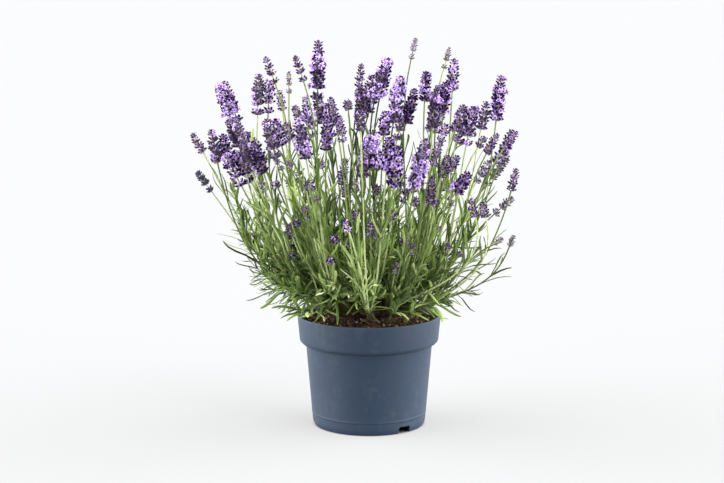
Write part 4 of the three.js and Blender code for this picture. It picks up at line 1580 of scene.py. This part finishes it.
def ringed_shape(name, rings, sides, tip):
    """A small closed shape one unit long: rings of (height, radius, along) and a pointed end."""
    verts, faces, marks = [], [], []
    for height, radius, along in rings:
        for k in range(sides):
            angle = FULL_TURN * k / sides
            verts.append((radius * math.cos(angle), radius * math.sin(angle), height))
            marks.append(along)
    for ring in range(len(rings) - 1):
        for k in range(sides):
            a, b = ring * sides + k, ring * sides + (k + 1) % sides
            faces.append([a, b, b + sides, a + sides])
    faces.append(list(range(sides))[::-1])
    last = len(verts) - sides
    verts.append((0, 0, tip))
    marks.append(1.0)
    faces += [[last + k, last + (k + 1) % sides, len(verts) - 1] for k in range(sides)]
    mesh = mesh_from(name, [[c / MM for c in v] for v in verts], faces)
    put_values(mesh, "along", marks)
    return new_object(name, mesh)


def corolla_shape():
    """An open floret: a short tube and five rounded lobes, each with a top and an underside."""
    verts, marks, faces = [], [], []

    def vert(radius, angle, height, along):
        verts.append((radius * math.cos(angle) / MM, radius * math.sin(angle) / MM, height / MM))
        marks.append(along)
        return len(verts) - 1

    lobes = len(LOBE_REACH)
    step = FULL_TURN / lobes
    necks = [vert(0.42, k * step, 0.02, 0.4) for k in range(lobes)]
    tube = [vert(0.16, k * step, -0.7, 0.1) for k in range(lobes)]
    throat = vert(0.0, 0.0, -0.3, 0.0)
    stalk = vert(0.0, 0.0, -0.74, 0.0)
    for k, reach in enumerate(LOBE_REACH):
        after = (k + 1) % lobes
        middle = (k + 0.5) * step
        low = vert(0.84 * reach, middle - LOBE_TURN, 0.14, 0.85)
        end = vert(reach, middle, -0.04, 1.0)
        high = vert(0.84 * reach, middle + LOBE_TURN, 0.1, 0.85)
        top = vert(0.6 * reach, middle, 0.22, 0.6)
        under = vert(0.6 * reach, middle, 0.06, 0.6)
        rim = [necks[k], low, end, high, necks[after], necks[k]]
        for a, b in zip(rim, rim[1:]):
            faces.append([a, b, top])
            faces.append([b, a, under])
        faces.append([necks[k], necks[after], throat])
        faces.append([necks[after], necks[k], tube[k], tube[after]])
        faces.append([tube[after], tube[k], stalk])
    mesh = mesh_from("corolla shape", verts, faces)
    put_values(mesh, "along", marks)
    return new_object("corolla shape", mesh)


def bract_shape():
    """A small pointed scale, thicker along its middle."""
    rim = [(0, 0, 0), (0.3, 0, 0.4), (0, 0, 1), (-0.3, 0, 0.4)]
    verts = [[c / MM for c in v] for v in [*rim, (0, -0.12, 0.45), (0, 0.05, 0.45)]]
    faces = [[k, (k + 1) % 4, 4] for k in range(4)] + [[(k + 1) % 4, k, 5] for k in range(4)]
    mesh = mesh_from("bract shape", verts, faces)
    put_values(mesh, "along", [0, 0.5, 1, 0.5, 0.5, 0.5])
    return new_object("bract shape", mesh)


def dress_whorl(spike, foot, reach, step, bloom, look, draw):
    """One whorl: tiers of calyces round the stalk, some of them with an open floret, over small bracts."""
    axis, tiers = spike["axis"], TIERS[spike["kind"]]
    age, dusk, shade = look
    longest = (reach - CALYX_STALK) / math.sin(math.radians(tiers[0][0]))
    turn = draw(0, FULL_TURN)
    for lean, rise, count in tiers:
        for k in range(count):
            angle = turn + FULL_TURN * (k + draw(-0.22, 0.22)) / count
            slope = math.radians(lean + draw(-8, 8))
            side = across(axis, angle)
            out = axis * math.cos(slope) + side * math.sin(slope)
            start = foot + axis * (step * (rise + draw(-0.05, 0.05))) + side * CALYX_STALK
            size = longest * draw(*CALYX_SIZES)
            tint = held(shade + draw(-TINT_SPREAD, TINT_SPREAD))
            calyces[spike["kind"]].add(start, out, size, tint, age, dusk)
            if draw(0, 1) < bloom:
                aim = unit(out + across(axis, angle + draw(-1, 1)) * 0.6 + axis * draw(-0.6, 0.5))
                corollas.add(start + out * (size * 0.98), aim, draw(*FLORET_SIZES), draw(0, 1), age)
            elif draw(0, 1) < PETAL_BUDS:
                petals.add(start + out * (size * 0.86), out, size * draw(0.26, 0.4), draw(0, 1), age)
        turn += math.pi / count
    for k in range(BRACTS):
        side = across(axis, turn + FULL_TURN * k / BRACTS + draw(-0.3, 0.3))
        aim = side + axis * draw(0.0, 0.6)
        bracts.add(foot + side * CALYX_STALK, aim, reach * draw(*BRACT_REACH), draw(0, 1), age)


def dress_spike(spike, draw, dusk=0.0):
    """The whorls of a spike, the lone one below them, and the last few calyces at its tip."""
    radius, pitch, _ = KINDS[spike["kind"]]
    bloom = BLOOM[spike["kind"]]
    look = (held(AGE[spike["kind"]] + draw(-0.12, 0.16)), dusk, draw(0.3, 0.6))
    whorls = max(2, rounded(spike["length"] / pitch))
    step = spike["length"] / whorls
    for k in range(whorls):
        girth = math.sqrt(1 - (max(0, (k + 0.5) / whorls - 0.4) / 0.68) ** 2)
        open_share = bloom * (1.7 if draw(0, 1) < 0.5 else 0.2)
        foot = spike["base"] + spike["axis"] * (step * (k + 0.06))
        dress_whorl(spike, foot, radius * girth * CALYX_REACH, step, open_share, look, draw)
    if spike["lone"]:
        foot = spike["start"] + spike["axis"]
        dress_whorl(spike, foot, radius * 0.9, LONE_WHORL_HEIGHT, bloom * 0.4, look, draw)
    longest = TOP_LENGTH * pitch
    top = spike["tip"] - spike["axis"] * longest
    for k in range(TOP_CALYCES):
        lean = TOP_LEAN if k else 0.0
        turn = FULL_TURN * k / (TOP_CALYCES - 1) + draw(-0.2, 0.2)
        out = unit(spike["axis"] + lean * across(spike["axis"], turn))
        calyces[spike["kind"]].add(top, out, longest * draw(0.85, 1.05), draw(0.2, 0.9), look[0], dusk)


def low_bud(middle, length, draw):
    """A flowering side shoot with a small head."""
    reach, angle = math.hypot(middle[0], middle[1]), math.atan2(middle[1], middle[0])
    lean = math.radians(draw(5, 20) + 22 * reach / DOME_RADIUS)
    kind = "young" if length > 9 or draw(0, 1) < 0.6 else "bud"
    return make_spike(middle, leaning(lean, angle), length, kind, draw(0, 1) < 0.4, draw)


def low_buds(draw):
    """The small heads that show between the stems: those at the front, and others all round."""
    made = []
    for across_front, height, length in SMALL_HEADS:
        reach = BUSH_REACH[0] + BUSH_REACH[1] * (height - POT_HEIGHT)
        depth = math.sqrt(max(0, reach * reach - across_front * across_front))
        made.append(low_bud(point(across_front, -depth, height), length, draw))
    starts, tips = core_of([s for clump in clumps for s in clump])
    while len(made) < len(SMALL_HEADS) + LOW_BUDS:
        angle, reach, height = draw(0, FULL_TURN), draw(*LOW_BUD_REACH), draw(*LOW_BUD_HEIGHT)
        middle = point_round(reach, angle, height)
        room = to_segments(np.array([middle]), starts, tips).min()
        if reach < 0.5 * height and room > LOW_BUD_ROOM:
            made.append(low_bud(middle, draw(*LOW_BUD_LENGTH), draw))
    return made


planned_spikes = [s for clump in clumps for s in clump]
flower_nodes = [f"flower_{number:02d}" for number in range(1, len(clumps) + 1)]
dress_draw = seeded(DRESS_SEED)
fillers = filler_shoots(dress_draw)
buds = low_buds(dress_draw)
leaf_material = leaf_skin()
make_pot()
make_soil()
make_woody_base(dress_draw)
make_stems(dress_draw)
spike_cores = (*core_of(planned_spikes), np.array([s["radius"] for s in planned_spikes]))
make_shoot_leaves(dress_draw)
make_filler_leaves(dress_draw, spike_cores)
make_stem_leaves(dress_draw, spike_cores)
calyces = {kind: Spots() for kind in KINDS}
petals, corollas, bracts = Spots(), Spots(), Spots()
for spike in planned_spikes + buds:
    dress_spike(spike, dress_draw, DUSK if spike is clumps[DUSKY_CLUMP][0] else 0.0)
calyx = ringed_shape("calyx shape", CALYX_RINGS, CALYX_SIDES, CALYX_TIP)
calyx_material = calyx_skin()
for number, (kind, spots) in enumerate(calyces.items()):
    spots.set_with(f"{kind}_calyces", calyx, calyx_material, CALYX_SEED + number)
corolla = corolla_shape()
petal_material = corolla_skin()
corollas.set_with("corollas", corolla, petal_material, COROLLA_SEED)
petals.set_with("petal_buds", calyx, petal_material, PETAL_BUD_SEED)
bract = bract_shape()
bracts.set_with("bracts", bract, bract_skin(), BRACT_SEED)
for shape in (calyx, corolla, bract):
    bpy.data.objects.remove(shape)


# Floor and light
def white_paper():
    """Matt paper that glows evenly, apart from a painted shadow in the patch under the pot."""
    paper = Finish("white paper", Roughness=1.0, Specular_IOR_Level=0.0)
    paper.shader["Base Color"].default_value = FLOOR_COLOR
    paper.shader["Emission Strength"].default_value = FLOOR_GLOW
    # No glow under the pot's foot: a painted shadow that fades out past the foot's edge
    glow = paper.span(paper.away(), *[(FOOT_RADIUS + edge) * MM for edge in PAINTED_SHADOW_EDGES])
    paper.join(paper.mix(glow, linear(0, 0, 0), linear(255, 254, 251)), paper.shader["Emission Color"])
    return paper.material


def make_floor():
    mesh = bpy.data.meshes.new("studio_floor")
    corners = [(x * FLOOR_REACH, y * FLOOR_REACH, 0) for x, y in ((-1, -1), (1, -1), (1, 1), (-1, 1))]
    mesh.from_pydata(corners, [], [(0, 1, 2, 3)])
    mesh.materials.append(white_paper())
    studio_floor = new_object("studio_floor", mesh)
    studio_floor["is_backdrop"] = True


def light_room():
    """Light from all round: bright walls at both sides, and a back brighter than the front."""
    world = bpy.data.worlds.new("studio")
    bpy.context.scene.world = world
    world.use_nodes = True
    sky = Nodes(world.node_tree)
    background = world.node_tree.nodes["Background"].inputs
    background["Color"].default_value = WALL_COLOR
    toward = sky.split(sky.node("ShaderNodeTexCoord").outputs["Generated"])
    beside = sky.calculate("ABSOLUTE", toward[0])
    walls = sky.span(beside, *WALL_EDGES, 0.0, WALL_LIGHT, "SMOOTHSTEP")
    room = sky.span(toward[1], *ROOM_EDGES, FRONT_LIGHT, BACK_LIGHT, "SMOOTHSTEP")
    sky.join(sky.calculate("ADD", walls, room), background["Strength"])


def soft_sun(name, strength, spread, azimuth, height):
    """Wide, even light from a direction given by its azimuth from the front and its height."""
    data = bpy.data.lights.new(name, "SUN")
    data.energy = strength
    data.angle = math.radians(spread)
    lamp = bpy.data.objects.new(name, data)
    turn, lift = math.radians(azimuth), math.radians(height)
    aim = Vector((-math.sin(turn) * math.cos(lift), math.cos(turn) * math.cos(lift), -math.sin(lift)))
    lamp.rotation_euler = aim.to_track_quat("-Z", "Y").to_euler()
    bpy.context.scene.collection.objects.link(lamp)


make_floor()
light_room()
for name, light in LIGHTS.items():
    soft_sun(name, *light)
bpy.context.scene.view_settings.view_transform = "Standard"

boxes = {"solids": solid_box, "visual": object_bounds()}
{name: [list(corner) for corner in box] for name, box in boxes.items()}
